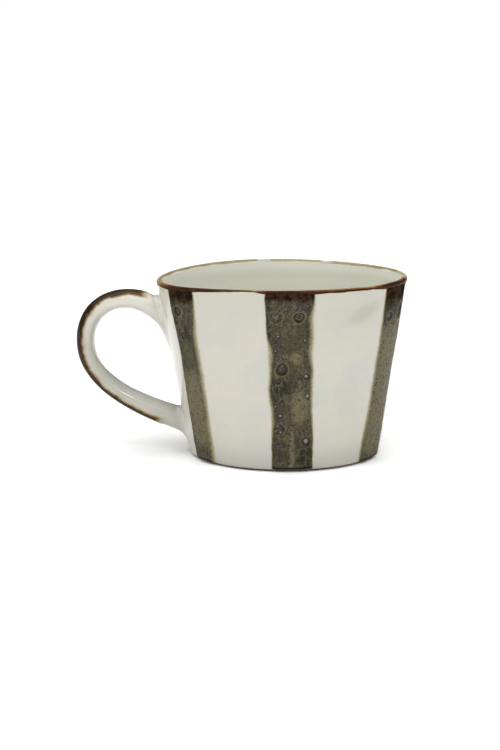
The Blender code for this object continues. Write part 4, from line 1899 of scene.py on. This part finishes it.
@dataclass(frozen=True)
class Studio:
    """A pale floor, soft light all round, and the camera.

    Lengths are in metres here, apart from the lens, which is in millimetres. Angles are in degrees.
    """

    form: CupForm
    distance: float = 0.695
    camera_height: float = 0.1588
    lens: float = 93.1
    aim_left: float = 0.0125
    aim_height: float = 0.0281
    floor_half: float = 60.0
    floor_white: float = 0.99
    fill: float = 0.19
    overhead_power: float = 3.7
    overhead_width: float = 105.0
    overhead_tilt: float = 6.0
    lamp_distance: float = 1.0
    lamp_aim_height: float = 0.04
    horizon_top: float = 0.015
    horizon_end: float = 0.05

    def floor(self) -> None:
        """Lays the floor."""
        half = self.floor_half
        mesh = bpy.data.meshes.new("floor")
        corners = [(-half, -half, 0), (half, -half, 0), (half, half, 0), (-half, half, 0)]
        mesh.from_pydata(corners, [], [(0, 1, 2, 3)])
        graph = Graph.of_material("pale_floor")
        finish = graph.dress(base_color=(self.floor_white,) * 3, roughness=0.9, specular_ior_level=0.0)
        mesh.materials.append(finish)
        put_in_scene("floor", mesh)

    def lamp(self, name: str, azimuth: float, elevation: float, size: float, power: float) -> None:
        """Hangs a square lamp that points at the mug.

        Args:
            name: The lamp's name.
            azimuth: Its direction round the mug, in degrees from +X towards +Y.
            elevation: Its height above the horizon, in degrees.
            size: The side of its square face, in metres.
            power: Its power in watts.
        """
        lamp = bpy.data.lights.new(name, "AREA")
        lamp.shape, lamp.size, lamp.energy = "SQUARE", size, power
        made = put_in_scene(name, lamp)
        turn, rise = math.radians(azimuth), math.radians(elevation)
        away = Vector((math.cos(turn) * math.cos(rise), math.sin(turn) * math.cos(rise), math.sin(rise)))
        made.location = Vector((0, 0, self.lamp_aim_height)) + away * self.lamp_distance
        made.rotation_euler = away.to_track_quat("Z", "Y").to_euler()

    def overhead(self) -> None:
        """Hangs the wide soft light overhead, far off, so that it falls evenly on the floor."""
        sky = bpy.data.lights.new("overhead", "SUN")
        sky.energy, sky.angle = self.overhead_power, math.radians(self.overhead_width)
        made = put_in_scene("overhead", sky)
        made.rotation_euler = (math.radians(self.overhead_tilt), 0, 0)

    def world(self) -> None:
        """Fills the surroundings with faint light, and with white at the horizon behind the floor."""
        graph = Graph(bpy.data.worlds.new("surroundings"), "Background")
        direction = graph.node("ShaderNodeTexCoord", {}, {}, "Generated")
        up = Value(graph, graph.node("ShaderNodeSeparateXYZ", {}, {"Vector": direction}, "Z"))
        white, faint = (1.0,) * 3, (self.fill,) * 3
        stops = ((0.0, white), (self.horizon_top, white), (self.horizon_end, faint))
        bpy.context.scene.world = graph.dress(color=graph.ramp(up, stops))

    def camera(self) -> None:
        """Sets the camera up."""
        axis_x = self.form.axis_x * MM
        lens = bpy.data.cameras.new("camera")
        lens.lens = self.lens
        made = put_in_scene("camera", lens)
        made.location = (axis_x, -self.distance, self.camera_height)
        aim = Vector((axis_x - self.aim_left, 0, self.aim_height))
        made.rotation_euler = (aim - made.location).to_track_quat("-Z", "Y").to_euler()
        bpy.context.scene.camera = made

    def build(self) -> None:
        """Sets everything up."""
        self.camera()
        self.floor()
        self.world()
        self.overhead()
        self.lamp("left_front_lamp", -128, 38, 0.05, 0.7)
        self.lamp("left_lamp", -178, 22, 0.12, 0.7)
        self.lamp("right_front_lamp", -65, 38, 0.05, 1.0)
        bpy.context.scene.view_settings.view_transform = "Standard"


# The marks of each stripe: three of them placed one by one, the others left to GUESSED_EDGES and chance


LEFT_EDGES = (
    EdgeAt(0, -8.4, 13.3, 0.7, 1.6),
    EdgeAt(10, -8.8, 12.8, 0.7, 1.6),
    EdgeAt(24, -8.8, 11.6, 0.8, 1.5),
    EdgeAt(38, -8.7, 10.7, 0.8, 1.9),
    EdgeAt(48, -9.2, 9.9, 0.7, 1.7),
    EdgeAt(56, -10.4, 9.7, 0.6, 0.9),
    EdgeAt(65, -10.4, 9.6, 0.5, 0.5),
)
LEFT_BLISTERS = (
    Blister(-2.3, 55.8, 1.8, 0.1, 0.8),
    Blister(-4.2, 52.4, 1.5, 0.2, 0.7),
    Blister(1.4, 49.9, 1.0, 0.0, 0.2),
    Blister(-0.9, 47.0, 1.2, 0.2, 0.5),
    Blister(4.6, 57.0, 0.7, 0.3, 0.2),
)
LEFT_PATCHES = (
    Patch(Tone.DEEP, -5.0, 57.0, 2.6, 5.0),
    Patch(Tone.DEEP, -6.2, 44.0, 1.3, 9.0),
    Patch(Tone.DEEP, 0.5, 47.5, 3.5, 1.6),
    Patch(Tone.PLUM, 2.5, 53.5, 3.4, 3.6),
    Patch(Tone.KHAKI, 0.0, 24.0, 7.4, 9.0),
    Patch(Tone.KHAKI, 3.5, 12.0, 6.0, 6.0),
    Patch(Tone.PLUM, -2.0, 6.0, 4.0, 2.5),
)
CENTRE_EDGES = (
    EdgeAt(0, -11.2, 13.3, 0.35, 0.4),
    EdgeAt(12, -11.2, 12.9, 0.5, 0.5),
    EdgeAt(20, -11.7, 11.7, 1.3, 0.9),
    EdgeAt(30, -12.3, 11.3, 0.9, 1.2),
    EdgeAt(37, -12.1, 11.3, 1.1, 1.0),
    EdgeAt(43, -12.3, 10.7, 1.8, 1.6),
    EdgeAt(48, -12.8, 10.7, 0.6, 1.7),
    EdgeAt(56, -13.2, 10.2, 0.35, 1.6),
    EdgeAt(61, -13.1, 10.1, 0.3, 0.6),
    EdgeAt(65, -13.0, 10.1, 0.3, 0.3),
)
CENTRE_BLISTERS = (
    Blister(-5.8, 55.7, 1.9, 0.4, 0.55, 0.45, 0.3),
    Blister(2.1, 55.6, 1.7, 0.0, 0.9),
    Blister(2.2, 55.8, 0.75, 0.0, 1.0),
    Blister(5.4, 51.4, 0.7, 0.4),
    Blister(-4.9, 49.0, 0.75, 0.9),
    Blister(-7.5, 51.4, 0.5, 0.6),
    Blister(4.5, 47.6, 0.9, 0.8),
    Blister(-5.7, 43.9, 0.6, 0.7),
    Blister(-2.4, 58.4, 0.6, 0.7),
    Blister(5.0, 59.5, 0.6, 0.5),
    Blister(-3.5, 37.4, 2.0, 0.1, 0.7),
    Blister(-3.3, 38.4, 0.6, 0.7),
    Blister(-3.9, 36.9, 0.5, 0.5),
    Blister(-4.6, 33.1, 0.9, 0.1),
    Blister(5.0, 34.9, 1.1, 0.8),
    Blister(5.5, 27.8, 1.1, 1.0),
    Blister(-3.0, 25.0, 0.75, 0.5),
    Blister(-5.6, 24.1, 0.6, 0.6),
    Blister(-3.8, 20.8, 0.9, 1.0),
    Blister(-4.2, 15.9, 1.7, 0.0, 0.4),
    # The three small pale blisters inside this crater are painted glints.
    Blister(-4.6, 17.0, 0.6, 1.0),
    Blister(-3.6, 14.8, 0.6, 0.9),
    Blister(-5.3, 15.1, 0.45, 0.8),
    Blister(5.3, 11.4, 1.5, 0.9, 0.3),
)
CENTRE_PATCHES = (
    Patch(Tone.DEEP, -3.8, 31.0, 3.4, 4.4),
    Patch(Tone.DEEP, 6.0, 53.2, 1.5, 5.0),
    Patch(Tone.DEEP, -8.6, 54.2, 1.0, 8.0),
    Patch(Tone.DEEP, 5.2, 6.2, 2.4, 4.6),
    Patch(Tone.PLUM, -5.4, 45.7, 1.8, 2.6),
    Patch(Tone.PLUM, 2.6, 59.7, 4.5, 2.0),
    Patch(Tone.PLUM, -4.6, 21.2, 1.9, 5.5),
    Patch(Tone.PLUM, -4.0, 8.2, 2.6, 3.5),
    Patch(Tone.AMBER, -8.2, 34.7, 0.9, 5.0),
    Patch(Tone.AMBER, 7.4, 55.2, 0.5, 3.5),
    Patch(Tone.KHAKI, 3.0, 24.2, 2.8, 6.5),
    Patch(Tone.KHAKI, 0.4, 7.2, 0.8, 7.0),
    Patch(Tone.KHAKI, -8.0, 42.2, 1.2, 3.0),
    Patch(Tone.KHAKI, 1.5, 41.2, 2.0, 1.8),
)
RIGHT_EDGES = (
    EdgeAt(0, -15.6, 12.0, 0.9, 1.0),
    EdgeAt(9, -14.7, 12.0, 1.0, 1.0),
    EdgeAt(17, -14.0, 11.8, 1.2, 1.0),
    EdgeAt(25, -12.9, 11.6, 1.2, 1.0),
    EdgeAt(44, -12.5, 11.2, 1.1, 1.0),
    EdgeAt(54, -12.6, 11.0, 0.8, 0.8),
    EdgeAt(65, -12.6, 11.0, 0.4, 0.5),
)
RIGHT_BLISTERS = (
    Blister(2.8, 54.0, 2.4, 0.0, 1.0),
    Blister(-5.0, 53.2, 1.6, 0.3, 0.7),
    Blister(-1.2, 50.5, 0.9, 0.3, 0.6),
)
RIGHT_PATCHES = (
    Patch(Tone.DEEP, -3.0, 55.0, 8.0, 3.6),
    Patch(Tone.DEEP, -9.4, 46.0, 0.6, 9.0),
    Patch(Tone.KHAKI, -1.0, 36.0, 12.0, 14.0),
    Patch(Tone.KHAKI, 0.0, 16.0, 12.0, 13.0),
    Patch(Tone.AMBER, -9.0, 22.0, 0.8, 3.0),
    Patch(Tone.PLUM, 3.0, 11.0, 2.0, 4.0),
)
STRIPE_STEP = math.radians(59.6)
FIRST_STRIPE = math.radians(-145.8)
STRIPE_MARKS = (
    (7.0, LEFT_EDGES, LEFT_BLISTERS, LEFT_PATCHES),
    (4.3, CENTRE_EDGES, CENTRE_BLISTERS, CENTRE_PATCHES),
    (10.5, RIGHT_EDGES, RIGHT_BLISTERS, RIGHT_PATCHES),
    (4.0,),
    (6.0,),
    (4.5,),
)


def stripes(form: CupForm) -> list[Stripe]:
    """Sets the stripes out round the cup.

    Args:
        form: The cup.

    Returns:
        The stripes, counted from the one beside the handle.
    """
    return [
        Stripe(form, number, FIRST_STRIPE + STRIPE_STEP * (number - 1), *marks)
        for number, marks in enumerate(STRIPE_MARKS, start=1)
    ]


def main() -> None:
    """Builds the mug and its studio."""
    logging.basicConfig(level=logging.INFO, format="%(name)s: %(message)s")
    form = CupForm()
    Studio(form).build()
    finishes = Finishes()
    CupBody(form).build(finishes)
    FootRing(form).build(finishes)
    Handle(StrapForm(form)).build(finishes)
    for stripe in stripes(form):
        stripe.build(finishes)
    RimBand(form).build(finishes)


if __name__ == "__main__":
    main()
